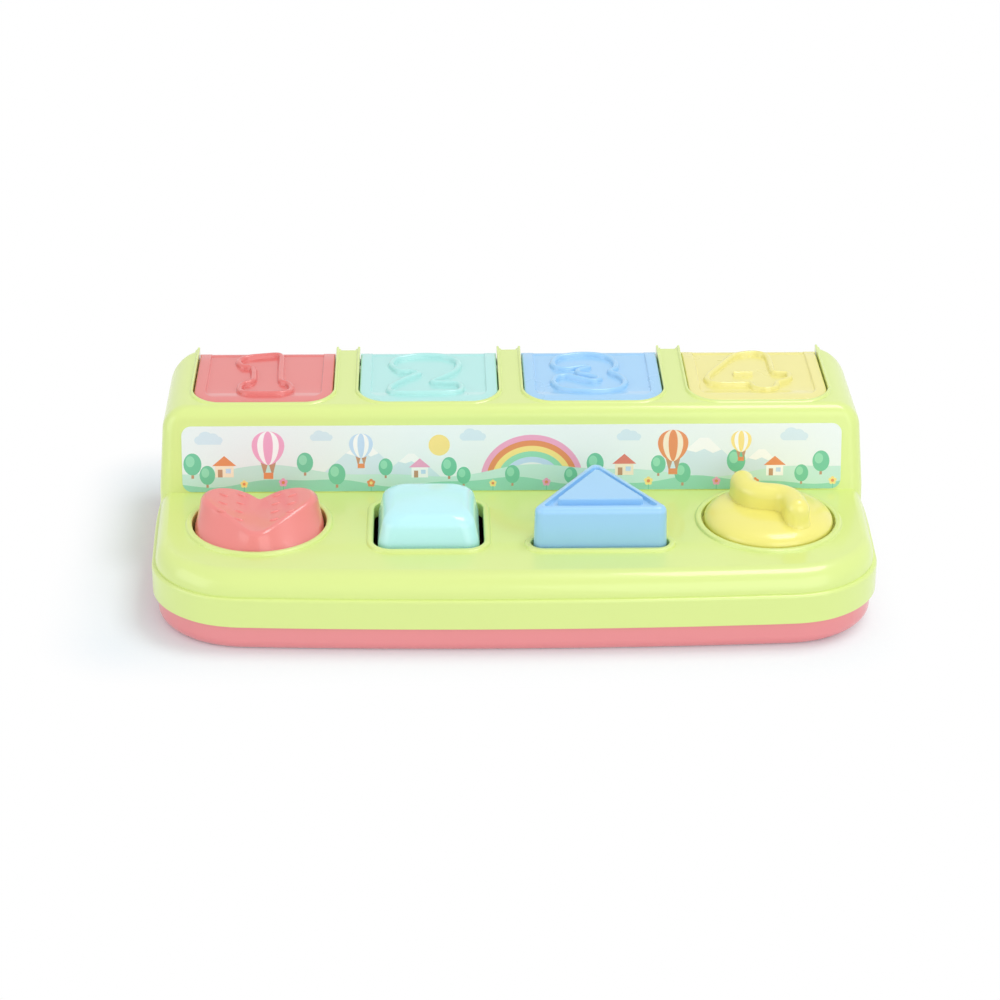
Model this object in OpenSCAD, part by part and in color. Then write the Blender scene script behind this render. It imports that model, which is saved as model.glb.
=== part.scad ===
// Pop-up activity toy: a low housing with four numbered lids at the back and four
// different controls in front. Each control slides a latch that frees the lid behind it.
// Millimetres, +Z up, +X to the right as a child sits, -Y towards the child.

/* [Housing] */
// Width over the lower band
body_w = 290; // [270:1:320]
// Depth over the lower band
body_d = 150; // [144:1:156]
// Height of the control deck
deck_h = 33; // [32:0.5:36]
// Height of the flat top beside the lids
top_h = 67; // [65:0.5:72]
// Plan radius of the two front corners
front_corner_r = 44; // [30:1:50]
// Plan radius of the two back corners
back_corner_r = 13; // [10:0.5:18]
// Wall thickness of the upper shell
wall = 2.2; // [1.8:0.1:2.4]
// Height of the joint between tray and shell
seam_h = 11.5; // [9:0.5:13]
// Height of the proud band above that joint
band_h = 12.5; // [8:0.5:16]
// How far the band stands proud of the shell
band_step = 0.8; // [0.3:0.1:1.4]
// Rounding of the deck's outer edge
shoulder_r = 9; // [5:0.5:12]
// How far the raised rear part is set in from the band's ends
rear_inset = 1.6; // [1:0.1:3]
// Rounding of the rear part's end edges
end_r = 10.5; // [6:0.5:11]

/* [Base tray] */
// How far the tray is set in behind the band
tray_inset = 2; // [0.5:0.1:2.4]
// Rounding of the tray's lower edge
tray_edge_r = 5; // [3:0.5:7]
// Thickness of the tray floor
tray_floor = 2.5; // [2:0.1:3]
// Thickness of the tray's rim tongue
tongue_t = 2; // [1.4:0.1:3]
// Height of the tongue inside the shell
tongue_h = 4; // [2:0.5:8]

/* [Front panel and label] */
// Distance of the panel's foot behind the middle of the plan
panel_y = 4.5; // [2:0.5:6]
// Backward lean of the panel in degrees
panel_lean = 13.5; // [8:0.5:14]
// Rounding of the nose above the panel
nose_r = 6; // [4:0.5:6.5]
// Space between the printed label and the housing's ends
label_margin = 9.75; // [9:0.25:20]
// Space between the printed label and the deck
label_foot = 1; // [1:0.1:3]
// Height of the printed label along the panel
label_h = 26.8; // [20:0.1:27]
// Thickness of the printed label
label_t = 0.3; // [0.2:0.05:0.5]
// Corner radius of the printed label
label_r = 4; // [2:0.5:8]

/* [Lids] */
// Space between the outer lids and the housing's ends
lid_margin = 13.85; // [13:0.05:16]
// Space between neighbouring lids
lid_space = 10.9; // [9:0.1:13]
// Front edge of the lids
lid_front_y = 19.4; // [19:0.1:21]
// Thickness of a lid plate
lid_t = 2.6; // [2.2:0.1:3]
// Radius of a lid's front corners
lid_corner_r = 14; // [8:0.5:18]
// Gap between a lid and its opening
lid_gap = 0.4; // [0.3:0.05:0.6]
// Width of the raised border on a lid
lid_border = 4.8; // [3:0.2:7]
// Depth of the panel inside that border
lid_recess = 0.6; // [0.3:0.1:1]
// Width of the lip round a lid's opening
lip_w = 2; // [1.2:0.1:2.4]
// Height of the lip round a lid's opening
lip_h = 1; // [0.5:0.1:1.4]
// Width of a numeral's ridge
ridge_w = 1.9; // [1.2:0.1:2.4]
// Height of a numeral's ridge above the lid's panel
ridge_h = 1.4; // [0.8:0.1:1.6]

/* [Lid hinges] */
// Hinge axis inside the back wall's face
hinge_inset = 4.4; // [4.3:0.1:5]
// Hinge axis below the lid's top face
hinge_drop = 4.4; // [4.3:0.1:5]
// Radius of the hinge barrel
barrel_r = 4.2; // [3.6:0.1:4.3]
// Length of the gap in the barrel for the spring
barrel_gap = 14; // [11:0.5:20]
// Radius of a steel hinge pin
pin_r = 1.5; // [1:0.1:2]
// Radial clearance of running fits
run_gap = 0.05; // [0.03:0.01:0.09]
// Thickness of the wells' walls and floor
well_wall = 2; // [1.6:0.1:2.2]
// Height of the wells' floor
well_floor_h = 38; // [34:0.5:40]

/* [Figures] */
// Radius of a figure's head
head_r = 14.5; // [12:0.5:15]

/* [Controls] */
// Row of controls in front of the middle of the plan
row_y = 23.5; // [22.5:0.5:24.5]
// Radius of the round deck holes
hole_r = 26.9; // [26:0.1:28]
// Gap between the round controls and their holes
round_gap = 1; // [0.9:0.1:1.2]
// Width of the lip round a deck hole
rim_w = 2.7; // [1.5:0.1:3]
// Height of the lip round a deck hole
rim_h = 0.9; // [0.5:0.1:1.1]
// Half the square button's width at the deck
square_half = 20.4; // [19:0.2:22]
// Height of the square button above the deck
square_h = 11; // [9:0.5:13]
// Draft of the square button's sides in degrees
square_draft = 12; // [4:0.5:14]
// Rounding of the square button's top edges
square_top_r = 6; // [3:0.5:8]
// Plan radius of the square button's corners
square_corner_r = 5; // [3:0.5:8]
// Gap round the square button
square_gap = 1.9; // [0.8:0.1:2.2]
// How much nearer the front than the other controls the square button's cap sits
square_shift = 3.5; // [0:0.5:4]
// Half the triangle button's width
tri_half = 27; // [25:0.1:28.5]
// Front edge of the triangle ahead of the row
tri_front = 24.5; // [23:0.5:28]
// Back corner of the triangle behind the row
tri_back = 16.5; // [14:0.5:18]
// Height of the triangle button above the deck
tri_h = 18; // [14:0.5:20]
// Plan radius of the triangle's corners
tri_corner_r = 4; // [3:0.5:6]
// Gap round the triangle button
tri_gap = 1.1; // [0.8:0.1:1.5]
// Width of the triangle's flat border
tri_border = 4.6; // [3:0.2:6]
// Width of the groove inside that border
tri_groove_w = 2; // [1:0.1:3]
// Depth of that groove
tri_groove_d = 1.6; // [0.8:0.1:2.5]
// Height of the heart's valley above the deck
heart_low = 6.5; // [4:0.5:8]
// Rise of the heart's wings per unit of width
heart_slope = 0.2; // [0.1:0.01:0.3]
// Radius of the heart's lobes
lobe_r = 13; // [11:0.2:13.2]
// Spacing of the lobes from the middle
lobe_x = 12; // [10.5:0.2:12.2]
// Height of the dial's dome above the deck
dome_h = 6.5; // [4:0.5:8]
// Height of the dial's grip above the deck
grip_h = 16; // [12:0.5:18]
// Thickness of the dial's grip
grip_t = 9.6; // [7:0.2:11]

/* [Mechanism] */
// Height of the rocker's axle
rocker_z = 26; // [25:0.2:26.4]
// Radius of the rocker's steel axle
axle_r = 2; // [1.5:0.1:2.2]
// Travel of the two buttons
button_travel = 8; // [5:0.5:8]
// Radius of the posts that guide the buttons
post_r = 5; // [4:0.2:5.4]
// Radius of the dial's shaft
shaft_r = 6; // [5:0.2:6.2]
// Radius of the dial's crank
crank_r = 13; // [12.6:0.1:13.4]
// Radius of the dial's crank pin
crank_pin_r = 2.2; // [1.6:0.1:2.4]
// Height of a latch's carriage above the table
carriage_z = 3.6; // [3.4:0.1:4]
// Thickness of a latch's carriage
carriage_t = 2.4; // [2:0.1:2.8]
// Half the width of a latch's nose
nose_half = 1.2; // [0.8:0.1:1.2]
// Gap between a latch's nose and its lid's catch
catch_gap = 0.5; // [0.4:0.05:0.8]
// Shank radius of the housing screws
screw_r = 1.5; // [1.2:0.1:1.8]
// Head radius of the housing screws
screw_head_r = 3.2; // [2.6:0.1:3.4]

/* [Hidden] */
$fn = 96;
lime = [0.84, 0.93, 0.45];
coral = [0.92, 0.50, 0.50];
mint = [0.70, 0.93, 0.90];
sky = [0.50, 0.72, 0.93];
lemon = [0.97, 0.92, 0.45];
steel = [0.72, 0.73, 0.75];
grey = [0.80, 0.80, 0.82];
paper = [0.90, 0.95, 0.95];
eps = 0.01;
far = 200;

lid_w = (body_w - 2 * lid_margin - 3 * lid_space) / 4;
pitch = lid_w + lid_space;
label_w = body_w - 2 * label_margin;
column_x = [for (i = [0:3]) (i - 1.5) * pitch];
control_y = -row_y;
deck_under = deck_h - wall;
top_under = top_h - wall;
shell_back = body_d / 2 - band_step;
edge_r = min(shoulder_r, deck_h - seam_h - 1);
hinge_y = shell_back - hinge_inset;
hinge_z = top_h - hinge_drop;
lid_mid_y = (lid_front_y + hinge_y) / 2;
lid_under = top_h - lid_t;
open_half = lid_w / 2 + lid_gap;

// Clearances: at stops, round slots, beside still pieces, and straight sides inside their rounds
stop_gap = 0.3;
slot_gap = 0.5;
fit_gap = 0.2;
merge = 0.002;

// The lips of the lids' openings: depth sunk in the top, and space behind them
lip_sink = 0.3;
lip_short = 3;

// Centre of the nose that the panel runs into
nose_y = panel_y + (nose_r + (top_h - nose_r - deck_h) * sin(panel_lean)) / cos(panel_lean);
nose_z = top_h - nose_r;

// The wells stand behind a front wall that the latches' noses reach through
well_front = lid_front_y - lid_gap - fit_gap;
well_back = shell_back - wall - fit_gap;
barrel_low = hinge_z - barrel_r - 0.6;
upright_y1 = well_front - well_wall - 0.4;
upright_t = 1.8;
upright_half = 4;
catch_z1 = lid_under - 3.9;
catch_z0 = catch_z1 - 2;
nose_z0 = catch_z1 + stop_gap;
nose_top = nose_z0 + 2.2;
barb_y = lid_front_y + 1.2;
nose_tip = barb_y - catch_gap;
catch_y = barb_y + 1.2;
catch_half = 3;
catch_t = 2;

// Controls below the deck
flange_t = 3;
flange_top = deck_under - stop_gap;
flange_low = flange_top - flange_t;
flange_over = 2;
plate_low = rocker_z + axle_r + 1.5;
seat_z = 12;
seat_r = 4.4;
spring_x = 15;
axle_post_y = 15;
axle_post_half = 2;
rocker_boss = axle_post_y - axle_post_half - 0.4;
rocker_wall = 2;
guide_z = 16;
stem_low = 11.5;
stem_wall = 2.9;
arm_z = carriage_z + carriage_t / 2 + fit_gap;
arm_reach = 23.8;
arm_y = control_y + arm_reach;
arm_t = 3.4;
arm_half = 1.3;
arm_end_r = 2;
arm_slot = arm_end_r + 0.15;
wedge_z = carriage_z + carriage_t + slot_gap + button_travel;
wedge_x0 = -3;
wedge_x1 = 8;
wedge_gap = 0.2;
wedge_y0 = control_y + 9.5;
wedge_y1 = wedge_y0 + 4.5;
crank_z = 14;
crank_t = 3;
crank_wall = 1.3;
bearing_z = 13;
bearing_wall = 2.4;
shaft_seat = 4;
carriage_half = 7;
carriage_back = upright_y1;
carriage_front = wedge_y0;
rail_top = carriage_z - 0.1;
rail_half = 20;
rail_rows = [4, 11];
rail_t = 2;
ramp = 4;

// Wire springs: wire radius and how far the coil stands off the pin or shaft it winds round
wire_r = 0.45;
wire_off = 1.2;
coil_gap = 0.1;

// Screws: three into the shell in front, three into the wells' frame behind
cup_top = 6;
cup_r = 5.5;
head_top = 4;
head_t = 2.4;
boss_r = 4;
screw_len = 10;
front_screw_y = -60;
rear_screw_y = 45;
screw_places = [for (i = [-1:1]) each [[i * pitch, front_screw_y], [i * pitch, rear_screw_y]]];

// Turns a flat shape into a bar: its first axis lies along Y or X, its second along Z
module along_x(from, to) {
    translate([from, 0, 0]) rotate([90, 0, 90]) linear_extrude(to - from) children();
}

module along_y(from, to) {
    translate([0, to, 0]) rotate([90, 0, 0]) linear_extrude(to - from) children();
}

// A box given by its two corners
module span(low, high) {
    translate(low) cube(high - low);
}

// Smooth closed or open curve through hand-set points
function knot(p, i, closed) = closed ? p[(i + len(p)) % len(p)] : p[min(max(i, 0), len(p) - 1)];
function blend(a, b, c, d, t) = 0.5 * (2 * b + (c - a) * t + (2 * a - 5 * b + 4 * c - d) * t * t
    + (3 * b - a - 3 * c + d) * t * t * t);
function smooth(p, closed, steps) = [for (i = [0:len(p) - (closed ? 1 : 2)]) for (k = [0:steps - 1])
    let(q = [for (j = [-1:2]) knot(p, i + j, closed)]) blend(q[0], q[1], q[2], q[3], k / steps)];
function unit(v) = v / norm(v);
function side(p, i, closed) = let(d = unit(knot(p, i + 1, closed) - knot(p, i - 1, closed))) [-d[1], d[0]];
function shifted(p, by, closed) = [for (i = [0:len(p) - 1]) p[i] + by * side(p, i, closed)];

// Half circle round one end of an open curve, from its left side to its right
function round_end(p, i, r) = let(n = side(p, i, false), d = [n[1], -n[0]])
    [for (a = [15:15:165]) p[i] + r * (cos(a) * n + sin(a) * d)];

// Ridge that follows a closed curve
module closed_ridge(p, w) {
    difference() {
        offset(r = w / 2, $fn = 24) polygon(p);
        offset(r = -w / 2, $fn = 24) polygon(p);
    }
}

// Ridge that follows an open curve, with round ends
module open_ridge(p, w) {
    n = len(p);
    left = shifted(p, w / 2, false);
    right = shifted(p, -w / 2, false);
    back = [for (i = [n - 1:-1:0]) right[i]];
    polygon(concat(left, round_end(p, n - 1, w / 2), back, round_end(p, 0, -w / 2)));
}

// Coil spring as one swept wire, from the origin up along Z
coil_rings = 8;
coil_sides = 6;
function coil_point(r, lead, a) = [r * cos(a), r * sin(a), lead * a / 360];
module coil(r, wire, turns, height) {
    lead = (height - 2 * wire) / turns;
    rings = turns * coil_rings;
    points = [for (i = [0:rings]) for (k = [0:coil_sides - 1])
        let(a = i * 360 / coil_rings, b = k * 360 / coil_sides, u = [cos(a), sin(a), 0])
        coil_point(r, lead, a) + wire * (cos(b) * u + sin(b) * [0, 0, 1]) + [0, 0, wire]];
    faces = [for (i = [0:rings - 1]) for (k = [0:coil_sides - 1])
        let(n = (k + 1) % coil_sides, a = i * coil_sides, b = a + coil_sides)
        each [[a + k, b + n, a + n], [a + k, b + k, b + n]]];
    start = [for (k = [1:coil_sides - 2]) [0, k, k + 1]];
    last = rings * coil_sides;
    finish = [for (k = [1:coil_sides - 2]) [last, last + k + 1, last + k]];
    gap = min([for (i = [coil_rings:rings]) for (j = [0:coil_sides - 1]) for (k = [0:coil_sides - 1])
        norm(points[i * coil_sides + j] - points[(i - coil_rings) * coil_sides + k])]);
    echo(least_gap_in_coil = gap);
    polyhedron(points, concat(faces, start, finish));
}

// Plan of the housing, drawn in by an amount all round
module plan(inset) {
    w = body_w / 2 - inset;
    f = inset - body_d / 2;
    b = body_d / 2 - inset;
    rf = front_corner_r - inset;
    rb = back_corner_r - inset;
    translate([-w, f + rf]) square([2 * w, b - rb - f - rf]);
    translate([rf - w, f]) square([2 * (w - rf), rf + 1]);
    translate([rb - w, b - rb - 1]) square([2 * (w - rb), rb + 1]);
    for (s = [-1, 1]) {
        translate([s * (w - rf), f + rf]) circle(rf);
        translate([s * (w - rb), b - rb]) circle(rb);
    }
}

// Half profile of a block that reaches out to r and has its top edge rounded
module edge_profile(r, h, e) {
    square([r - e, h]);
    square([r, h - e]);
    translate([r - e, h - e]) intersection() {
        circle(e);
        square(e);
    }
}

// Block on the housing's plan with its top edge rounded all round
module soft_block(inset, h, e) {
    w = body_w / 2 - inset;
    f = inset - body_d / 2;
    b = body_d / 2 - inset;
    rf = front_corner_r - inset;
    rb = back_corner_r - inset;
    for (s = [-1, 1]) {
        translate([s * (w - rf), f + rf, 0]) rotate_extrude() edge_profile(rf, h, e);
        translate([s * (w - rb), b - rb, 0]) rotate_extrude() edge_profile(rb, h, e);
    }
    along_x(rf - w, w - rf) translate([f + rf, 0]) mirror([1, 0]) edge_profile(rf, h, e);
    along_x(rb - w, w - rb) translate([b - rb, 0]) edge_profile(rb, h, e);
    along_y(f + rf, b - rb) {
        translate([w - rf, 0]) edge_profile(rf, h, e);
        translate([rf - w, 0]) mirror([1, 0]) edge_profile(rf, h, e);
    }
    span([rf - w, f + rf, 0], [w - rf, b - rb, h]);
}

// Side view of the raised rear part: leaning panel, round nose, flat top
module rear_profile(inset) {
    r = nose_r - inset;
    low_y = panel_y + inset / cos(panel_lean) - (deck_h - seam_h) * tan(panel_lean);
    touch = [nose_y - (r - merge) * cos(panel_lean), nose_z + (r - merge) * sin(panel_lean)];
    polygon([[low_y, seam_h], touch, [nose_y, nose_z], [nose_y, nose_z + r], [far, nose_z + r], [far, seam_h]]);
    translate([nose_y, nose_z]) circle(r);
}

// Front view of the raised rear part: upright sides with rounded top edges
module rear_front(inset) {
    w = body_w / 2 - rear_inset - inset;
    r = end_r - inset;
    top = top_h - inset;
    translate([-w, seam_h]) square([2 * w, top - r - seam_h]);
    translate([r - w, seam_h]) square([2 * (w - r), top - seam_h]);
    for (s = [-1, 1]) translate([s * (w - r), top - r]) circle(r);
}

module rear_box(inset) {
    intersection() {
        translate([0, 0, seam_h]) linear_extrude(top_h) plan(band_step + inset);
        along_x(-far, far) rear_profile(inset);
        along_y(-far, far) rear_front(inset);
    }
}

// Outline of a lid or its opening, open at the back
module lid_outline(grow, back) {
    half = lid_w / 2 + grow;
    front = lid_front_y - grow;
    r = lid_corner_r + grow;
    translate([-half, front + r]) square([2 * half, back - front - r]);
    translate([r - half, front]) square([2 * (half - r), r + 1]);
    for (s = [-1, 1]) translate([s * (half - r), front + r]) circle(r);
}

// Square with round corners
module round_square(half, r) {
    square([2 * half, 2 * (half - r)], center = true);
    square([2 * (half - r), 2 * half], center = true);
    for (x = [-1, 1]) for (y = [-1, 1]) translate([x, y] * (half - r)) circle(r);
}

// Triangle with round corners, drawn in or out by an amount all round
module round_triangle(inset) {
    r = max(tri_corner_r - inset, 1);
    shrink = inset - (tri_corner_r - r);
    a = [tri_corner_r - tri_half, tri_corner_r - tri_front];
    b = [-a[0], a[1]];
    c = [0, tri_back - tri_corner_r];
    ab = norm(b - a);
    bc = norm(c - b);
    perimeter = ab + 2 * bc;
    middle = (bc * a + bc * b + ab * c) / perimeter;
    inradius = ab * (c[1] - a[1]) / perimeter;
    k = (inradius - shrink) / inradius;
    corners = [for (p = [a, b, c]) middle + k * (p - middle)];
    polygon([for (i = [0:2]) each
        let(p = corners[i], q = corners[(i + 1) % 3], d = unit(q - p), n = (r - merge) * [d[1], -d[0]])
        [p + n, q + n]]);
    for (p = corners) translate(p) circle(r);
}

// Heart outline: two lobes and a point tangent to them
heart_point = -25;
heart_lift = 1;
module heart_outline() {
    reach = [lobe_x, heart_lift - heart_point];
    turn = atan2(reach[1], reach[0]) - asin(lobe_r / norm(reach));
    run = sqrt(reach * reach - lobe_r * lobe_r);
    touch = [run * cos(turn), heart_point + run * sin(turn)];
    notch = heart_lift + sqrt(lobe_r * lobe_r - lobe_x * lobe_x);
    polygon([[0, heart_point], touch, [lobe_x, heart_lift], [0, notch], [-lobe_x, heart_lift],
        [-touch[0], touch[1]]]);
    for (s = [-1, 1]) translate([s * lobe_x, heart_lift]) circle(lobe_r);
}

// Deck openings, the four shapes in order
module deck_opening(i, grow) {
    translate([column_x[i], control_y]) {
        if (i == 0 || i == 3) circle(hole_r + grow);
        if (i == 1) translate([0, -square_shift])
            round_square(square_half + square_gap + grow, square_corner_r + square_gap + grow);
        if (i == 2) round_triangle(-tri_gap - grow);
    }
}

module upper_shell() {
    color(lime) difference() {
        union() {
            translate([0, 0, seam_h]) linear_extrude(band_h) plan(0);
            translate([0, 0, seam_h]) soft_block(band_step, deck_h - seam_h, edge_r);
            rear_box(0);
            for (i = [0:3]) translate([0, 0, deck_h - eps]) linear_extrude(rim_h + eps)
                deck_opening(i, rim_w);
            for (x = column_x) translate([x, 0, top_h - lip_sink]) linear_extrude(lip_h + lip_sink)
                lid_outline(lid_gap + lip_w, shell_back - lip_short);
        }
        difference() {
            union() {
                translate([0, 0, seam_h - 1])
                    soft_block(band_step + wall, deck_under - seam_h + 1, edge_r - wall);
                rear_box(wall);
            }
            for (p = screw_places) if (p[1] < 0)
                translate([p[0], p[1], cup_top]) cylinder(r = boss_r, h = far);
        }
        for (i = [0:3]) translate([0, 0, deck_under - 1]) linear_extrude(far) deck_opening(i, 0);
        for (x = column_x) {
            translate([x, 0, top_under - 1]) linear_extrude(far) lid_outline(lid_gap, far);
            span([x - open_half, hinge_y - barrel_r - 1, barrel_low], [x + open_half, far, far]);
        }
        for (p = screw_places) translate([p[0], p[1], 0]) cylinder(r = screw_r, h = cup_top + screw_len);
    }
}

// Four wells in one moulding: floor, side walls that hold the hinge pins, front wall with slots
module well_frame() {
    half = column_x[3] + open_half + well_wall;
    front = well_front - well_wall;
    slot_half = button_travel + nose_half + 0.8;
    roof = top_under - slot_gap;
    color(lime) difference() {
        union() {
            intersection() {
                union() {
                    span([-half, front, well_floor_h - well_wall], [half, far, well_floor_h]);
                    span([-half, front, well_floor_h - eps], [half, well_front, roof]);
                    span([-half, well_back - well_wall, well_floor_h - eps], [half, far, barrel_low]);
                    for (x = column_x) for (s = [-1, 1])
                        translate([x + s * (open_half + well_wall / 2), 0, 0])
                            span([-well_wall / 2, nose_y + 1, well_floor_h - eps], [well_wall / 2, far, roof]);
                }
                linear_extrude(far) plan(band_step + wall + fit_gap);
            }
            for (p = screw_places) if (p[1] > 0)
                translate([p[0], p[1], cup_top]) cylinder(r = boss_r, h = well_floor_h - cup_top - eps);
        }
        translate([-far, hinge_y, hinge_z]) rotate([0, 90, 0]) cylinder(r = pin_r, h = 2 * far);
        for (x = column_x) span([x - slot_half, front - 1, nose_z0 - slot_gap],
            [x + slot_half, well_front + 1, nose_top + slot_gap]);
        for (p = screw_places) translate([p[0], p[1], 0]) cylinder(r = screw_r, h = cup_top + screw_len);
    }
}

// Tray with the latch rails, button posts, axle posts, spring seats and dial bearing
module base_tray() {
    rim = band_step + wall + fit_gap;
    color(coral) difference() {
        union() {
            difference() {
                union() {
                    translate([0, 0, seam_h]) mirror([0, 0, 1]) soft_block(tray_inset, seam_h, tray_edge_r);
                    translate([0, 0, seam_h - 1]) linear_extrude(tongue_h + 1) plan(rim);
                }
                translate([0, 0, tray_floor]) linear_extrude(far) plan(rim + tongue_t);
            }
            for (p = screw_places) tray_post(p, cup_r, cup_top);
            for (i = [1, 2]) tray_post([column_x[i], control_y], post_r, guide_z);
            for (s = [-1, 1]) {
                tray_post([column_x[0] + s * spring_x, control_y], seat_r, seat_z);
                translate([column_x[0], control_y + s * axle_post_y, 0]) axle_post();
            }
            tray_post([column_x[3], control_y], shaft_r + run_gap + bearing_wall, bearing_z);
            for (x = column_x) {
                for (y = rail_rows)
                    span([x - rail_half, y, tray_floor - eps], [x + rail_half, y + rail_t, rail_top]);
                span([x - rail_half, carriage_back + stop_gap, tray_floor - eps],
                    [x + rail_half, carriage_back + stop_gap + rail_t, carriage_z + carriage_t]);
            }
        }
        translate([column_x[3], control_y, shaft_seat]) cylinder(r = shaft_r + run_gap, h = far);
        for (p = screw_places) {
            translate([p[0], p[1], -1]) cylinder(r = screw_head_r + slot_gap, h = head_top + 1);
            translate([p[0], p[1], 0]) cylinder(r = screw_r + fit_gap, h = far);
        }
        translate([column_x[0], -far, rocker_z]) rotate([-90, 0, 0]) cylinder(r = axle_r, h = 2 * far);
    }
}

module tray_post(at, r, top) {
    translate([at[0], at[1], tray_floor - eps]) cylinder(r = r, h = top - tray_floor + eps);
}

module axle_post() {
    half = axle_r + 1.2;
    deep = axle_post_half;
    span([-half, -deep, tray_floor - eps], [half, deep, rocker_z]);
    translate([0, -deep, rocker_z]) rotate([-90, 0, 0]) cylinder(r = half, h = 2 * deep);
}

// Printed label that lies on the panel
module front_label() {
    color(paper) translate([0, panel_y, deck_h]) rotate([-panel_lean, 0, 0])
        translate([0, 0, label_h / 2 + label_foot]) rotate([90, 0, 0]) linear_extrude(label_t) {
            square([label_w - 2 * label_r, label_h], center = true);
            square([label_w, label_h - 2 * label_r], center = true);
            for (x = [-1, 1]) for (y = [-1, 1])
                translate([x * (label_w / 2 - label_r), y * (label_h / 2 - label_r)]) circle(label_r);
        }
}

module housing_screws() {
    cross_half = screw_head_r - 1;
    color(steel) for (p = screw_places) translate([p[0], p[1], 0]) difference() {
        union() {
            translate([0, 0, head_top - head_t]) cylinder(r = screw_head_r, h = head_t);
            translate([0, 0, head_top - eps]) cylinder(r = screw_r, h = screw_len);
        }
        for (a = [0, 90]) rotate(a) span([-cross_half, -0.4, 0], [cross_half, 0.4, head_top - head_t / 2]);
    }
}

module hinge_pin(i) {
    half = open_half + well_wall;
    color(steel) translate([column_x[i] - half, hinge_y, hinge_z]) rotate([0, 90, 0])
        cylinder(r = pin_r, h = 2 * half);
}

module lid_spring(i) {
    length = barrel_gap - 6;
    color(steel) translate([column_x[i] - length / 2, hinge_y, hinge_z]) rotate([0, 90, 0])
        coil(pin_r + wire_off, wire_r, 4, length);
}

// Numerals as closed curves, seen from above with the lid's front edge below, and the lid they are drawn for
drawn_depth = 50.4;
drawn_w = 57.4;
numeral_scale = min((hinge_y - lid_front_y) / drawn_depth, lid_w / drawn_w);
numerals = [
    [[-10.9, 15.7], [-8.9, 19.6], [-3.1, 21.3], [2.8, 21.9], [6.8, 19.9], [7.5, 14.7], [7.4, -0.8],
        [10.4, -7], [10.6, -13.2], [7.9, -16.4], [1, -17], [-6.5, -16.4], [-9.7, -12.4], [-8.9, -6.6],
        [-4.6, -2], [-4.1, 8], [-5.8, 11], [-9, 12]],
    [[-15.6, 13], [-13.5, 19.3], [-7, 22.3], [0, 23], [7.5, 21.3], [12.3, 15.5], [11.5, 7], [6, 0],
        [1.5, -5], [6, -6], [12, -6.8], [13.5, -11.5], [10.5, -16.2], [-1.5, -17.4], [-13.5, -17],
        [-16.3, -12.5], [-14.5, -7.5], [-9, -0.5], [-4.5, 5], [-7, 8], [-12, 8.2]],
    [[-15.8, 13], [-12.9, 19.3], [-3.2, 22.2], [6, 20.4], [10.5, 14.5], [10.4, 8.5], [8, 4.7],
        [11.6, 0.2], [13.7, -5.9], [11, -12.4], [3.5, -16.1], [-5.7, -16.1], [-13.2, -12.4],
        [-16.3, -6], [-14.4, -0.5], [-10.2, 0.8], [-5.5, -2], [0, -4.8], [3, -2.8], [0, 0.5],
        [-4.5, 2.4], [-5.6, 5.4], [-1, 9.5], [-5, 9.8], [-9.5, 8.2], [-14, 9]],
    [[-7.4, 18.7], [-2.3, 21.4], [3.6, 21.4], [6.8, 17.7], [7.4, 9.4], [8.4, 3.4], [11.7, 2.4],
        [14.4, 1.4], [14.2, -3.4], [11.2, -6.1], [8.7, -8.2], [7.6, -12.3], [3.6, -15], [-1, -12.6],
        [-2.8, -8.6], [-9.9, -8.6], [-17.5, -8.2], [-20.2, -4], [-18.6, 1.5], [-13.3, 10.4]]];
bar_of_four = [[-8.6, 2.2], [-0.6, 2.2]];

function placed(p) = [for (q = p) numeral_scale * q + [0, lid_mid_y]];

module lid(i) {
    tints = [coral, mint, sky, lemon];
    half = lid_w / 2;
    half_gap = barrel_gap / 2;
    spring_roof = hinge_z + pin_r + 1.8;
    floor_z = top_h - lid_recess;
    color(tints[i]) translate([column_x[i], 0, 0]) {
        difference() {
            union() {
                translate([0, 0, lid_under]) linear_extrude(lid_t) lid_outline(0, hinge_y);
                translate([-half, hinge_y, hinge_z]) rotate([0, 90, 0]) cylinder(r = barrel_r, h = lid_w);
            }
            translate([0, 0, floor_z]) linear_extrude(far) lid_outline(-lid_border, hinge_y - barrel_r);
            translate([-far, hinge_y, hinge_z]) rotate([0, 90, 0]) cylinder(r = pin_r + run_gap, h = 2 * far);
            span([-half_gap, hinge_y - barrel_r - fit_gap, hinge_z - far], [half_gap, far, lid_under]);
            span([-half_gap, hinge_y - barrel_r, hinge_z - far], [half_gap, far, spring_roof]);
        }
        translate([0, 0, floor_z - eps]) linear_extrude(ridge_h + eps) {
            closed_ridge(smooth(placed(numerals[i]), true, 5), ridge_w);
            if (i == 3) open_ridge(placed(bar_of_four), ridge_w);
        }
        span([-catch_half, catch_y, catch_z0], [catch_half, catch_y + catch_t, lid_under + eps]);
        span([-nose_half, barb_y, catch_z0], [nose_half, catch_y + eps, catch_z1]);
    }
}

// Figures are measured in head radii from the middle of the head, and shrink with the lid as its numeral does
figure_r = head_r * numeral_scale;
head_y = lid_mid_y - 0.28 * figure_r;
module bump(at, r) {
    translate([at[0] * figure_r, head_y + at[1] * figure_r, lid_under - at[2] * figure_r]) sphere(r * figure_r);
}

// A little animal in half relief under a lid: it faces down, with its head towards the front
module figure(i) {
    translate([column_x[i], 0, 0]) difference() {
        union() {
            bump([0, 0.93, 0], 0.72);
            bump([0, 0, 0.1], 1);
            children();
        }
        span([-far, -far, lid_under], [far, far, far]);
    }
}

module bear_figure() {
    color([0.72, 0.52, 0.36]) figure(0) {
        for (s = [-1, 1]) bump([0.76 * s, -0.72, 0.03], 0.38);
        bump([0, 0.21, 0.9], 0.38);
    }
}

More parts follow.
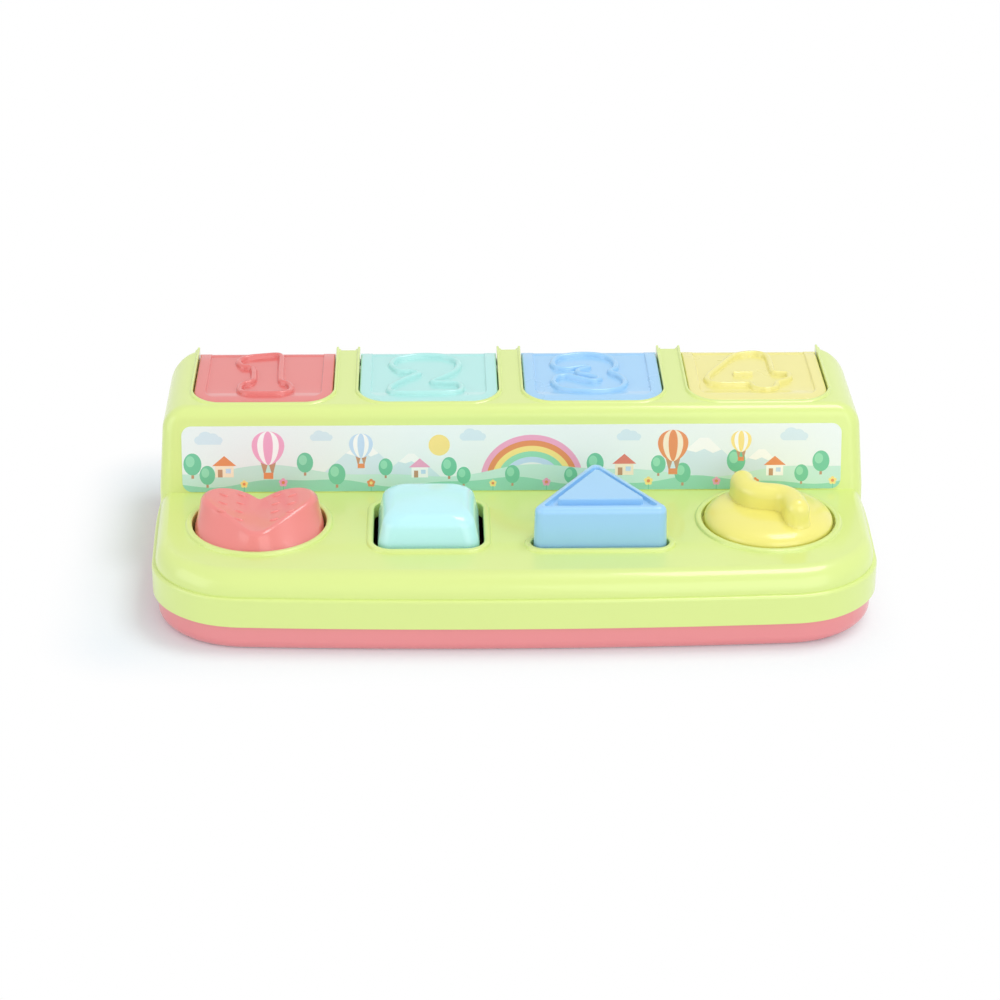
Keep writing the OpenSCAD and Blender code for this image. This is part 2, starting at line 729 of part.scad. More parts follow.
module rabbit_figure() {
    color([0.93, 0.88, 0.86]) figure(1) {
        for (s = [-1, 1]) for (k = [0:4])
            bump([s * (0.41 + 0.22 * k), -0.72 - 0.04 * k, 0.07], 0.3 - 0.014 * k);
        bump([0, 0.24, 0.93], 0.3);
    }
}

module cat_figure() {
    color([0.95, 0.66, 0.38]) figure(2) {
        for (s = [-1, 1]) translate([0.55 * s * figure_r, head_y - 0.59 * figure_r, lid_under])
            rotate([90, 0, 20 * s]) cylinder(r1 = 0.38 * figure_r, r2 = 0.08 * figure_r, h = 0.69 * figure_r);
        bump([0, 0.24, 0.93], 0.32);
    }
}

module chick_figure() {
    color([0.98, 0.84, 0.35]) figure(3) {
        for (s = [-1, 1]) bump([0.83 * s, 0.86, 0.07], 0.34);
        bump([0, 0.17, 1], 0.22);
        for (k = [-1:1]) bump([0.18 * k, -0.97 + 0.055 * abs(k), 0.14], 0.18);
    }
}

// Heart-shaped rocker on a fore-and-aft axle, with an arm behind that moves its latch
module heart_rocker() {
    skirt_r = hole_r - round_gap;
    boss = axle_r + rocker_wall;
    high = deck_h + heart_low;
    peak = high + heart_slope * (lobe_x + lobe_r) + 1;
    color(coral) translate([column_x[0], control_y, 0]) difference() {
        union() {
            translate([0, 0, plate_low]) cylinder(r = skirt_r, h = deck_h - plate_low + 0.5);
            intersection() {
                hull() {
                    translate([0, 0, deck_h + 0.3]) cylinder(r = skirt_r, h = 0.2, $fn = 48);
                    translate([0, 0, high - 1]) linear_extrude(peak - high + 1) heart_outline($fn = 32);
                }
                along_y(-far, far) polygon([[-far, 0], [far, 0], [far, high + far * heart_slope], [0, high],
                    [-far, high + far * heart_slope]]);
            }
            translate([0, -rocker_boss, rocker_z]) rotate([-90, 0, 0]) cylinder(r = boss, h = 2 * rocker_boss);
            span([-boss, -rocker_boss, rocker_z], [boss, rocker_boss, plate_low + eps]);
            translate([0, arm_y - control_y, 0]) {
                span([-arm_half, -arm_t / 2, arm_z], [arm_half, arm_t / 2, plate_low + eps]);
                translate([0, -arm_t / 2, arm_z]) rotate([-90, 0, 0]) cylinder(r = arm_end_r, h = arm_t);
            }
        }
        translate([0, -rocker_boss - 1, rocker_z]) rotate([-90, 0, 0])
            cylinder(r = axle_r + run_gap, h = 2 * rocker_boss + 2);
    }
}

module rocker_axle() {
    half = axle_post_y + axle_post_half;
    color(steel) translate([column_x[0], control_y - half, rocker_z]) rotate([-90, 0, 0])
        cylinder(r = axle_r, h = 2 * half);
}

module rocker_springs() {
    color(steel) for (s = [-1, 1]) translate([column_x[0] + s * spring_x, control_y, seat_z + coil_gap])
        coil(seat_r - wire_off, wire_r, 5, plate_low - seat_z - 2 * coil_gap);
}

spring_top = flange_low - 1;

// Stem that slides on a tray post, with the wedge that pushes a latch aside
module button_stem(top) {
    difference() {
        union() {
            translate([0, 0, stem_low]) cylinder(r = post_r + stem_wall, h = top - stem_low);
            translate([0, wedge_y0 - control_y, 0]) along_y(-stem_wall, wedge_y1 - wedge_y0 + slot_gap)
                polygon([[wedge_x0, wedge_z], [wedge_x1, wedge_z + wedge_x1 - wedge_x0],
                    [wedge_x1, top], [wedge_x0, top]]);
        }
        translate([0, 0, stem_low - 1]) cylinder(r = post_r + run_gap, h = spring_top - stem_low + 1);
    }
}

// Profile of a button with drafted sides and rounded upper edges
module drafted_profile(half, h, r, draft) {
    x = half - (r + (h - r) * sin(draft)) / cos(draft);
    touch = [x + (r - merge) * cos(draft), h - r + (r - merge) * sin(draft)];
    polygon([[-half, 0], [half, 0], touch, [x, h - r], [x, h], [-x, h], [-x, h - r],
        [-touch[0], touch[1]]]);
    for (s = [-1, 1]) translate([s * x, h - r]) circle(r);
}

module square_button() {
    half = square_half;
    wide = half + square_gap + flange_over;
    color(mint) translate([column_x[1], control_y, 0]) {
        translate([0, -square_shift, deck_h]) intersection() {
            along_x(-far, far) drafted_profile(half, square_h, square_top_r, square_draft);
            along_y(-far, far) drafted_profile(half, square_h, square_top_r, square_draft);
            linear_extrude(far) round_square(half, square_corner_r);
        }
        translate([0, -square_shift, flange_low]) linear_extrude(deck_h - flange_low)
            round_square(half, square_corner_r);
        translate([0, -square_shift, flange_low]) linear_extrude(flange_t)
            round_square(wide, square_corner_r + square_gap + flange_over);
        button_stem(flange_low + 1);
    }
}

module triangle_button() {
    color(sky) translate([column_x[2], control_y, 0]) {
        difference() {
            translate([0, 0, flange_low]) linear_extrude(deck_h + tri_h - flange_low) round_triangle(0);
            translate([0, 0, deck_h + tri_h - tri_groove_d]) linear_extrude(far) difference() {
                round_triangle(tri_border);
                round_triangle(tri_border + tri_groove_w);
            }
        }
        translate([0, 0, flange_low]) linear_extrude(flange_t) round_triangle(-tri_gap - flange_over);
        button_stem(flange_low + 1);
    }
}

module button_spring(i) {
    color(steel) translate([column_x[i], control_y, guide_z + coil_gap])
        coil(post_r - wire_off, wire_r, 5, spring_top - guide_z - 2 * coil_gap);
}

// Dial with an S-shaped grip on a low dome; a crank under it moves its latch
grip_path = [[-9.5, 12], [-8.2, 5], [-4, 1], [4, -1], [8.2, -5], [9.5, -12]];
module twist_dial() {
    r = hole_r - round_gap;
    ball = (r * r + dome_h * dome_h) / (2 * dome_h);
    foot = shaft_seat + stop_gap;
    arm = crank_pin_r + crank_wall;
    pin_foot = carriage_z + slot_gap;
    color(lemon) translate([column_x[3], control_y, 0]) {
        rotate_extrude() {
            translate([0, flange_low]) square([hole_r + flange_over, flange_t]);
            intersection() {
                translate([0, flange_low]) square([r, far]);
                translate([0, deck_h + dome_h - ball]) circle(ball);
            }
        }
        translate([0, 0, deck_h - 1]) linear_extrude(grip_h + 1)
            open_ridge(smooth(grip_path, false, 6), grip_t);
        translate([0, 0, foot]) cylinder(r = shaft_r, h = flange_low - foot + eps);
        translate([0, 0, crank_z]) linear_extrude(crank_t) {
            translate([-arm, 0]) square([2 * arm, crank_r]);
            translate([0, crank_r]) circle(arm);
        }
        translate([0, crank_r, pin_foot]) cylinder(r = crank_pin_r, h = crank_z - pin_foot + eps);
    }
}

module dial_spring() {
    low = crank_z + crank_t + slot_gap;
    color(steel) translate([column_x[3], control_y, low])
        coil(shaft_r + wire_off, wire_r, 4, flange_low - low - slot_gap);
}

// Latch: a carriage on the tray's rails, an upright behind the panel and a nose over the lid's catch
module latch(i) {
    fork = crank_pin_r + 0.4;
    low = wedge_x0 + wedge_gap;
    high = carriage_half - 1;
    front = i == 0 ? arm_y - arm_t / 2 - ramp : carriage_front;
    color(grey) translate([column_x[i], 0, 0]) difference() {
        union() {
            span([-carriage_half, front, carriage_z], [carriage_half, carriage_back, carriage_z + carriage_t]);
            span([-upright_half, upright_y1 - upright_t, carriage_z], [upright_half, upright_y1, nose_top]);
            span([-nose_half, upright_y1 - eps, nose_z0], [nose_half, nose_tip, nose_top]);
            if (i == 1 || i == 2) along_y(wedge_y0, wedge_y1) polygon([[low, carriage_z], [low, wedge_z],
                [low + ramp, wedge_z + ramp], [high, wedge_z + ramp], [high, carriage_z]]);
        }
        if (i == 0) translate([0, arm_y, 0])
            span([-arm_slot, -arm_t / 2 - slot_gap, 0], [arm_slot, arm_t / 2 + slot_gap, far]);
        if (i == 3) span([-fork, -far, 0], [fork, control_y + crank_r + crank_pin_r + slot_gap, far]);
    }
}

upper_shell();
well_frame();
base_tray();
front_label();
housing_screws();
hinge_pin(0);  // hinge_pin_1
hinge_pin(1);  // hinge_pin_2
hinge_pin(2);  // hinge_pin_3
hinge_pin(3);  // hinge_pin_4
lid_spring(0);  // lid_spring_1
lid_spring(1);  // lid_spring_2
lid_spring(2);  // lid_spring_3
lid_spring(3);  // lid_spring_4
lid(0);  // lid_1
lid(1);  // lid_2
lid(2);  // lid_3
lid(3);  // lid_4
bear_figure();
rabbit_figure();
cat_figure();
chick_figure();
heart_rocker();
rocker_axle();
rocker_springs();
square_button();
button_spring(1);  // square_spring
triangle_button();
button_spring(2);  // triangle_spring
twist_dial();
dial_spring();
latch(0);  // latch_1
latch(1);  // latch_2
latch(2);  // latch_3
latch(3);  // latch_4
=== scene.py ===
import math
import bmesh
import bpy
import numpy as np
from mathutils import Matrix, Vector
from mathutils.geometry import delaunay_2d_cdt


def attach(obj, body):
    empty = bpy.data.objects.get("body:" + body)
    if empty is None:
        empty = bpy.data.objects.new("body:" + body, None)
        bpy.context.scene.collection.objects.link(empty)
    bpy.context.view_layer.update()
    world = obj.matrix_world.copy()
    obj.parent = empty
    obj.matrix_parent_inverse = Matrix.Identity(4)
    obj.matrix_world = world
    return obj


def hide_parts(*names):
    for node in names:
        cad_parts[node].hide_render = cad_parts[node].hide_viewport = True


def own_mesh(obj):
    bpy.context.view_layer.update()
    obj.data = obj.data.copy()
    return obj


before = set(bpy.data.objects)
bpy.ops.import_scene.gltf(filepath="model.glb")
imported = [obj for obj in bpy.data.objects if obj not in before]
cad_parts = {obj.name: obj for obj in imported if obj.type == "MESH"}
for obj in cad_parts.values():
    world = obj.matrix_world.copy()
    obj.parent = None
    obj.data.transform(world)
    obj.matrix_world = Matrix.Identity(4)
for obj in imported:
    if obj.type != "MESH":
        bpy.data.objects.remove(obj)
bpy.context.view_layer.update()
mm = 0.001  # lengths below are in millimetres, Blender's are in metres

toy = {
    "halfWidth": 145, "halfDepth": 75, "frontCorner": 36, "solidCorner": 44, "backCorner": 13,
    "deck": 33, "top": 67, "seam": 11.5, "bandTop": 24, "bandStep": 1.5, "shoulder": 9, "sideShoulder": 5,
    "columns": (-102.45, -34.15, 34.15, 102.45), "controlY": -23.5,
    "panelY": 4.5, "lean": math.radians(13.5), "noseY": 17.39, "noseZ": 61, "noseR": 6,
}
bow = {  # the convex front edge and sides
    "front": 2.48, "frontX": 99, "mostX": 115, "fromY": -20, "overY": 50,
    "side": 1.1, "sideY": 2, "spread": 26, "taper": 0.7, "fromX": 100, "overX": 30,
}


class Wire:  # an expression on sockets adds its Math nodes
    def __init__(self, paint, socket):
        self.paint, self.socket = paint, socket

    def math(self, operation, a, b):
        return self.paint.add("ShaderNodeMath", {"operation": operation}, {0: a, 1: b})

    def __add__(self, other): return self.math("ADD", self, other)
    def __radd__(self, other): return self.math("ADD", other, self)
    def __sub__(self, other): return self.math("SUBTRACT", self, other)
    def __rsub__(self, other): return self.math("SUBTRACT", other, self)
    def __mul__(self, other): return self.math("MULTIPLY", self, other)
    def __rmul__(self, other): return self.math("MULTIPLY", other, self)


class Paint:  # the node tree of a material or of the world
    def __init__(self, name, world=None):
        self.holder = world or bpy.data.materials.new(name)
        self.holder.use_nodes = True
        self.tree = self.holder.node_tree
        self.tree.nodes.clear()

    def add(self, kind, settings=None, sockets=None, out=0):
        node = self.tree.nodes.new(kind)
        for key, value in (settings or {}).items():
            setattr(node, key, value)
        for key, value in (sockets or {}).items():
            if isinstance(value, Wire):
                self.tree.links.new(value.socket, node.inputs[key])
            else:
                node.inputs[key].default_value = value
        return Wire(self, node.outputs[out]) if len(node.outputs) else None

    def place(self):
        return self.add("ShaderNodeTexCoord", out="Object")

    def vector(self, operation, *values, out=0):
        return self.add("ShaderNodeVectorMath", {"operation": operation}, dict(enumerate(values)), out)

    def noise(self, place, scale, detail=2.0, rough=0.5):
        return self.add("ShaderNodeTexNoise", {}, {
            "Vector": place, "Scale": scale, "Detail": detail, "Roughness": rough})

    def mix(self, factor, a, b):
        return self.add("ShaderNodeMix", {"data_type": "RGBA"}, {0: factor, 6: a, 7: b}, 2)

    def bump(self, height, strength, distance):
        return self.add("ShaderNodeBump", {}, {"Strength": strength, "Distance": distance, "Height": height})

    def seen(self):  # 1 where the camera sees the surface, straight, mirrored or through
        outs = self.add("ShaderNodeLightPath").socket.node.outputs
        camera, through, glossy = (Wire(self, outs[f"Is {ray} Ray"]) for ray in ("Camera", "Transmission", "Glossy"))
        return glossy.math("MAXIMUM", camera.math("MAXIMUM", camera, through), glossy)

    def close(self, sockets):  # ends a material with its shader
        shader = self.add("ShaderNodeBsdfPrincipled", {}, sockets)
        self.add("ShaderNodeOutputMaterial", {}, {"Surface": shader})
        return self.holder


def rgb(r, g, b):  # sRGB 0..255 to linear
    return tuple((v / 255 / 12.92 if v < 10.3 else ((v / 255 + 0.055) / 1.055) ** 2.4) for v in (r, g, b)) + (1.0,)


def tint(colour, factor):
    return tuple(min(1.0, v * factor) for v in colour[:3]) + (1.0,)


plastics = {  # colour, roughness
    "lime": (rgb(219, 236, 141), 0.3), "coral": (rgb(231, 121, 117), 0.28), "mint": (rgb(178, 234, 230), 0.28),
    "sky": (rgb(157, 209, 248), 0.28), "lemon": (rgb(240, 232, 142), 0.28), "grey": (rgb(150, 152, 154), 0.5),
    # the tray's coral is the lids' coral made lighter: painted light for the light its upright sides miss
    "trayCoralPaintedLight": (rgb(235, 141, 144), 0.3), "rose": (rgb(238, 135, 130), 0.28), "aqua": (rgb(190, 244, 249), 0.26),
    "butter": (rgb(241, 233, 123), 0.28),
    "bear": (rgb(176, 122, 84), 0.42), "rabbit": (rgb(236, 226, 216), 0.42), "cat": (rgb(240, 168, 92), 0.42),
    "chick": (rgb(250, 215, 84), 0.42), "cream": (rgb(250, 236, 208), 0.42), "blush": (rgb(246, 168, 170), 0.42),
    "cocoa": (rgb(70, 46, 38), 0.3), "beak": (rgb(240, 138, 56), 0.38),
}
finish = {"mottle": 22, "mottleShare": 0.7, "mottleDepth": 0.02, "mottleRough": 0.05, "flow": 5,
          "flowStretch": (1.0, 1.0, 4.0), "grain": 1500, "grainDepth": 0.012, "grainHigh": 0.0002,
          "gloss": 0.5, "glossRough": 0.07, "ior": 1.49}
film = {"dots": 2600, "cloud": 30, "dark": 0.965, "light": 1.03, "rough": 0.3, "cloudRough": 0.1, "dotDepth": 0.05}
wire = {"streak": 120, "stretch": (1.0, 30.0, 30.0), "spots": 400, "spotRough": 0.15, "dark": 0.85, "light": 1.08,
        "streakDepth": 0.08}
thinInk = 0.0001  # metres of relief in film and steel


def mouldedPlastic(name, colour, roughness):
    paint = Paint(name)
    place = paint.place()
    mottle = paint.noise(place, finish["mottle"], 3.0)  # uneven pigment
    flow = paint.noise(paint.vector("MULTIPLY", place, finish["flowStretch"]), finish["flow"])  # flow of the melt
    grain = paint.noise(place, finish["grain"], 2.0, 0.6)
    depth, share = finish["mottleDepth"], finish["mottleShare"]
    return paint.close({
        "Base Color": paint.mix(mottle * share + flow * (1 - share), tint(colour, 1 - depth), tint(colour, 1 + depth)),
        "Roughness": roughness + (mottle - 0.5) * finish["mottleRough"],
        "Normal": paint.bump(grain, finish["grainDepth"], finish["grainHigh"]),
        "IOR": finish["ior"], "Coat Weight": finish["gloss"], "Coat Roughness": finish["glossRough"]})


def printedFilm(name, colour):
    paint = Paint(name)
    place = paint.place()
    dots = paint.noise(place, film["dots"], 1.0)  # tiny unevenness of the ink
    cloud = paint.noise(place, film["cloud"])
    return paint.close({
        "Base Color": paint.mix(dots * 0.6 + cloud * 0.4, tint(colour, film["dark"]), tint(colour, film["light"])),
        "Roughness": film["rough"] + cloud * film["cloudRough"],
        "Normal": paint.bump(dots, film["dotDepth"], thinInk)})


def drawnSteel(name, colour, roughness):
    paint = Paint(name)
    place = paint.place()
    streak = paint.noise(paint.vector("MULTIPLY", place, wire["stretch"]), wire["streak"], 3.0)
    spots = paint.noise(place, wire["spots"], 4.0, 0.7)
    return paint.close({
        "Base Color": paint.mix(streak, tint(colour, wire["dark"]), tint(colour, wire["light"])),
        "Roughness": roughness + spots * wire["spotRough"], "Metallic": 1.0,
        "Normal": paint.bump(streak, wire["streakDepth"], thinInk)})


plastic = {key: mouldedPlastic(key + "Plastic", *value) for key, value in plastics.items()}
steel = drawnSteel("pinSteel", rgb(190, 190, 188), 0.25)
springSteel = drawnSteel("springSteel", rgb(168, 166, 162), 0.3)
print("finishes made:", len(bpy.data.materials))


class Skin:  # gathers the points and faces of one piece, in millimetres
    def __init__(self):
        self.points, self.faces, self.inks = [], [], []

    def ring(self, row):
        start = len(self.points)
        self.points.extend(tuple(float(v) for v in p) for p in row)
        return list(range(start, len(self.points)))

    def face(self, corners, ink=0):
        self.faces.append(list(corners))
        self.inks.append(ink)

    def loft(self, rows, closed=True, loop=False, caps=False, ink=0):
        rows = [self.ring(row) for row in rows]
        count = len(rows[0])
        for below, above in zip(rows, rows[1:] + (rows[:1] if loop else [])):
            for i in range(count if closed else count - 1):
                j = (i + 1) % count
                self.face((below[i], below[j], above[j], above[i]), ink)
        if caps:
            self.face(rows[0][::-1], ink)
            self.face(rows[-1], ink)
        return rows

    def strip(self, rows):  # a bar along an open path, its rows in a ring and its two ends closed
        rows = self.loft(rows, closed=False, loop=True)
        self.face([row[0] for row in rows])
        self.face([row[-1] for row in rows][::-1])

    def ball(self, centre, radii, ink=0, steps=32, turn=0.0):  # an ellipsoid, turned about the up axis
        rows = []
        for a in np.linspace(-math.pi / 2, math.pi / 2, steps // 2 + 1):
            row = []
            for b in np.linspace(0, 2 * math.pi, steps, endpoint=False):
                x, y = radii[0] * math.cos(a) * math.cos(b), radii[1] * math.cos(a) * math.sin(b)
                row.append((centre[0] + x * math.cos(turn) - y * math.sin(turn),
                            centre[1] + x * math.sin(turn) + y * math.cos(turn), centre[2] + radii[2] * math.sin(a)))
            rows.append(row)
        self.loft(rows, ink=ink)

    def take(self, mesh):  # adds a spare mesh in metres
        start = len(self.points)
        self.points.extend(tuple(v.co / mm) for v in mesh.vertices)
        for polygon in mesh.polygons:
            self.face([start + i for i in polygon.vertices])
        bpy.data.meshes.remove(mesh)

    def become(self, name, materials=(), weld=0.0005):
        mesh = bpy.data.meshes.new(name)
        mesh.from_pydata([(x * mm, y * mm, z * mm) for x, y, z in self.points], [], self.faces)
        for material in materials:
            mesh.materials.append(material)
        mesh.polygons.foreach_set("material_index", self.inks)
        work = bmesh.new()
        work.from_mesh(mesh)
        bmesh.ops.remove_doubles(work, verts=work.verts, dist=weld * mm)
        bmesh.ops.dissolve_degenerate(work, edges=work.edges, dist=weld * mm)
        bmesh.ops.recalc_face_normals(work, faces=work.faces)
        work.to_mesh(mesh)
        work.free()
        piece = bpy.data.objects.new(name, mesh)
        bpy.context.scene.collection.objects.link(piece)
        return piece


def smooth(piece, angle):
    piece.data.shade_smooth()
    piece.data.set_sharp_from_angle(angle=math.radians(angle))
    piece.modifiers.new("even", "WEIGHTED_NORMAL").keep_sharp = True
    return piece


def carve(base, tool, operation):  # a boolean that uses up the tool
    step = base.modifiers.new("carve", "BOOLEAN")
    step.operation, step.solver, step.object = operation, "MANIFOLD", tool
    bpy.context.view_layer.update()
    done = bpy.data.meshes.new_from_object(base.evaluated_get(bpy.context.evaluated_depsgraph_get()))
    base.modifiers.clear()
    old, base.data = base.data, done
    spare = tool.data
    bpy.data.objects.remove(tool)
    for mesh in (old, spare):
        bpy.data.meshes.remove(mesh)


def settle(piece, body, node):
    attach(piece, body)
    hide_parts(node)
    return piece


def solidCopy(node, cuts):  # a copy of a CAD piece, cut along planes: point, normal, whether the far side goes
    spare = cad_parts[node].data.copy()
    work = bmesh.new()
    work.from_mesh(spare)
    bmesh.ops.remove_doubles(work, verts=work.verts, dist=1e-7)
    for point, normal, trim in cuts:
        done = bmesh.ops.bisect_plane(work, geom=work.verts[:] + work.edges[:] + work.faces[:],
                                      plane_co=Vector(point) * mm, plane_no=normal, clear_outer=trim)
        if trim:  # closes the cut
            edges = [item for item in done["geom_cut"] if isinstance(item, bmesh.types.BMEdge)]
            bmesh.ops.holes_fill(work, edges=edges, sides=0)
    work.to_mesh(spare)
    work.free()
    return spare


def addControl(skin, name, hue, node, join):  # a shaped head, carried by the CAD piece below the join
    skin.take(solidCopy(node, [((0, 0, join), (0, 0, 1), True)]))
    settle(smooth(skin.become(name, [plastic[hue]]), 38), node, node)


def ease(share):  # a smooth step from 0 to 1
    share = np.clip(share, 0, 1)
    return share * share * (3 - 2 * share)


def between(start, end, count):
    return np.linspace(start, end, count + 2)[1:-1]


def arc(radius, start, end, steps):
    return [(radius * math.cos(a), radius * math.sin(a)) for a in np.radians(np.linspace(start, end, steps))]


def circle(steps):
    return np.linspace(0, 2 * math.pi, steps, endpoint=False)


def boxLoop(x0, x1, y0, y1, front, back, steps):  # a box with round corners: points and outward normals
    corners = ((x1 - front, y0 + front, front), (x1 - back, y1 - back, back),
               (x0 + back, y1 - back, back), (x0 + front, y0 + front, front))
    points, normals = [], []
    for quarter, (x, y, radius) in enumerate(corners):
        for u, v in arc(1, 90 * quarter - 90, 90 * quarter, steps + 1):
            points.append((x + radius * u, y + radius * v))
            normals.append((u, v))
    return np.array(points), np.array(normals)


def circleLoop(x, y, radius, steps=72):
    normals = np.stack([np.cos(circle(steps)), np.sin(circle(steps))], 1)
    return normals * radius + np.array((x, y)), normals


def level(flat, z):  # plan points at a height
    return np.column_stack([flat, np.full(len(flat), float(z))])


def atHeight(loop, grow, z):  # a loop grown outwards, at a height
    return level(loop[0] + grow * loop[1], z)


def facing(loop, side, front):  # rows (outwards, height) that change from the sides to the front
    ahead = np.clip(-loop[1][:, 1:], 0, 1) ** 2
    rows = []
    for (sideGrow, sideZ), (frontGrow, frontZ) in zip(side, front):
        flat = loop[0] + loop[1] * (sideGrow + (frontGrow - sideGrow) * ahead)
        rows.append(np.column_stack([flat, sideZ + (frontZ - sideZ) * ahead]))
    return rows


view = {"lens": 102.81, "sensor": 36, "height": 26.145, "yaw": 1.58, "roll": -0.346, "distance": 1153.3,
        "target": (-5.637, -16.34, 39.135)}
studio = {"worldFill": 0.58, "aim": (0.0, 0.0, 0.03), "lamps": [  # place, size, watts
    ("softbox", (0.4, 0.06, 1.2), 0.5, 4.7),
    ("front", (0.8, -1.4, 0.7), 1.5, 9.2),
    ("left", (-1.4, -0.6, 0.5), 1.2, 5.5),
]}
paper = {"half": 2600, "back": 300, "fibre": 900, "rough": 0.75, "fibreRough": 0.1, "low": 0.08,
         "middle": (-0.016, 0.012, 0.0), "reach": (0.134, 0.07, 0.0), "fadeFrom": 0.002, "fadeTo": 0.042}


def setCamera():
    yaw, tilt, roll = (math.radians(view[key]) for key in ("yaw", "height", "roll"))
    ahead = Vector((math.sin(yaw) * math.cos(tilt), math.cos(yaw) * math.cos(tilt), -math.sin(tilt)))
    right = Vector((math.cos(yaw), -math.sin(yaw), 0))
    up = right.cross(ahead)
    across = right * math.cos(roll) - up * math.sin(roll)
    over = right * math.sin(roll) + up * math.cos(roll)
    lens = bpy.data.cameras.new("lens")
    lens.lens, lens.sensor_width, lens.clip_end = view["lens"], view["sensor"], 50
    camera = bpy.data.objects.new("camera", lens)
    spot = (Vector(view["target"]) - ahead * view["distance"]) * mm
    camera.matrix_world = Matrix.Translation(spot) @ Matrix((across, over, -ahead)).transposed().to_4x4()
    bpy.context.scene.collection.objects.link(camera)
    bpy.context.scene.camera = camera


def setStudio():
    bpy.context.scene.view_settings.view_transform = "Standard"
    for name, place, size, watts in studio["lamps"]:
        lamp = bpy.data.lights.new(name, "AREA")
        lamp.shape, lamp.size, lamp.energy = "SQUARE", size, watts
        holder = bpy.data.objects.new(name, lamp)
        holder.location = place
        holder.rotation_euler = (Vector(studio["aim"]) - Vector(place)).to_track_quat("-Z", "Y").to_euler()
        bpy.context.scene.collection.objects.link(holder)
    world = bpy.data.worlds.new("studioWorld")
    bpy.context.scene.world = world
    paint = Paint("studioWorld", world)
    strength = studio["worldFill"] + paint.seen() * (1 - studio["worldFill"])
    sky = paint.add("ShaderNodeBackground", {}, {"Color": (1, 1, 1, 1), "Strength": strength})
    paint.add("ShaderNodeOutputWorld", {}, {"Surface": sky})


def setFloor():  # white paper, shaded only near the toy
    skin = Skin()
    steps = np.linspace(-paper["half"], paper["half"], 27)
    skin.loft([[(x, y, 0) for x in steps] for y in steps + paper["back"]], closed=False)
    paint = Paint("floorPaper")
    place = paint.place()
    fibre = paint.noise(place, paper["fibre"], 3.0)
    aside = paint.vector("ABSOLUTE", paint.vector("SUBTRACT", place, paper["middle"]))
    past = paint.vector("MAXIMUM", paint.vector("SUBTRACT", aside, paper["reach"]), (0.0, 0.0, 0.0))
    away = paint.vector("LENGTH", past, out="Value")
    fade = paint.add("ShaderNodeMapRange", {"interpolation_type": "SMOOTHSTEP"}, {
        "Value": away, "From Min": paper["fadeFrom"], "From Max": paper["fadeTo"], "To Min": paper["low"]})
    sheet = paint.add("ShaderNodeBsdfPrincipled", {}, {
        "Base Color": paint.mix(fibre, rgb(238, 245, 254), rgb(243, 249, 255)),
        "Roughness": paper["rough"] + fibre * paper["fibreRough"]})
    glow = paint.add("ShaderNodeEmission", {}, {"Color": (1, 1, 1, 1), "Strength": 1.0})
    both = paint.add("ShaderNodeMixShader", {}, {0: paint.seen() * fade, 1: sheet, 2: glow})
    paint.add("ShaderNodeOutputMaterial", {}, {"Surface": both})
    skin.become("floor", [paint.holder])


setCamera()
setStudio()
setFloor()
print("camera, light and floor set")

shell = {
    "endRound": 10.5, "rearInset": 1.6, "rearFlare": 1.5, "flareTop": 56.5, "flareHigh": 23.5, "backY": 74.05,
    "backEdge": 1.5, "pillarRound": 6.0, "heelRound": 11.6, "wall": 2.2, "sideWall": 3.0,
    "rearLow": 15, "hollowLow": 20, "rearSteps": (28, 33, 45),
    "holeRound": 26.9, "holeDip": 8, "dipAngle": 18, "holeCut": (26, 37),
    "squareX": -34.5, "squareY": -27.2, "squareHalf": (20.2, 19.7), "squareGap": 1.8, "squareCorner": 5.5,
    "triX": 33.4, "triHalf": 26.4, "triFront": 24.5, "triBack": 19.2, "triCorner": 4, "triGap": 1.0,
    "lidHalf": 28.7, "lidFront": 19.4, "lidCorner": 11.5, "lidGap": 0.4, "spare": 0.3, "lidCut": (62.5, 71),
    "hingeY": 64.6, "hingeCut": (57.8, 72), "past": 90,
    "rim": [(0, 28.4), (0, 33.6), (0.12, 33.9), (0.4, 34.1), (0.8, 34.2), (1.7, 34.2), (2.15, 34.08), (2.45, 33.8),
            (2.62, 33.4), (2.75, 33.12), (3.05, 33.0), (3.5, 32.9), (3.5, 31.6)],  # outwards, height
    "lipSide": [(0, 64.9), (0, 67.8), (0.12, 68.02), (0.4, 68.12), (0.7, 68.1), (0.95, 67.95), (1.08, 67.6),
                (1.15, 67.25), (1.4, 67.04), (1.9, 66.9), (1.9, 65.6)],
    "lipFront": [(0, 64.9), (0, 66.95), (0.2, 67.25), (0.6, 67.45), (1.1, 67.5), (1.7, 67.42), (2.2, 67.2),
                 (2.5, 66.98), (2.9, 66.8), (3.4, 66.6), (3.4, 65.4)],
}
heart = {
    "skirt": 25.9, "low": 29.0, "foot": 32.4, "join": 29.4, "valley": 39.5, "valleySoft": 4, "slope": 0.235,
    "lobeR": 12.2, "lobeX": 11.7, "lobeY": 4.9, "point": -26.5, "edge": 3.4, "midY": -4, "steps": 144,
    "notchSoft": 2.6, "pointSoft": 6.0, "bluntAngle": 35, "shares": (0.86, 0.7, 0.52, 0.34, 0.16, 0.04),
    "dash": (1.9, 0.62), "dashLean": 18, "dashes": [
        (-14.3, (7.2, 0.0, -7.0)), (-7.4, (10.0, 2.6, -4.6, -11.6)), (6.6, (10.0, 2.6, -4.6, -11.6)),
        (13.0, (7.2, 0.0, -7.0))],
    "dashSteps": ((1.12, -0.4), (1.12, 0.0), (1.0, 0.16), (0.86, 0.36), (0.66, 0.5), (0.35, 0.55), (0.02, 0.55)),
}


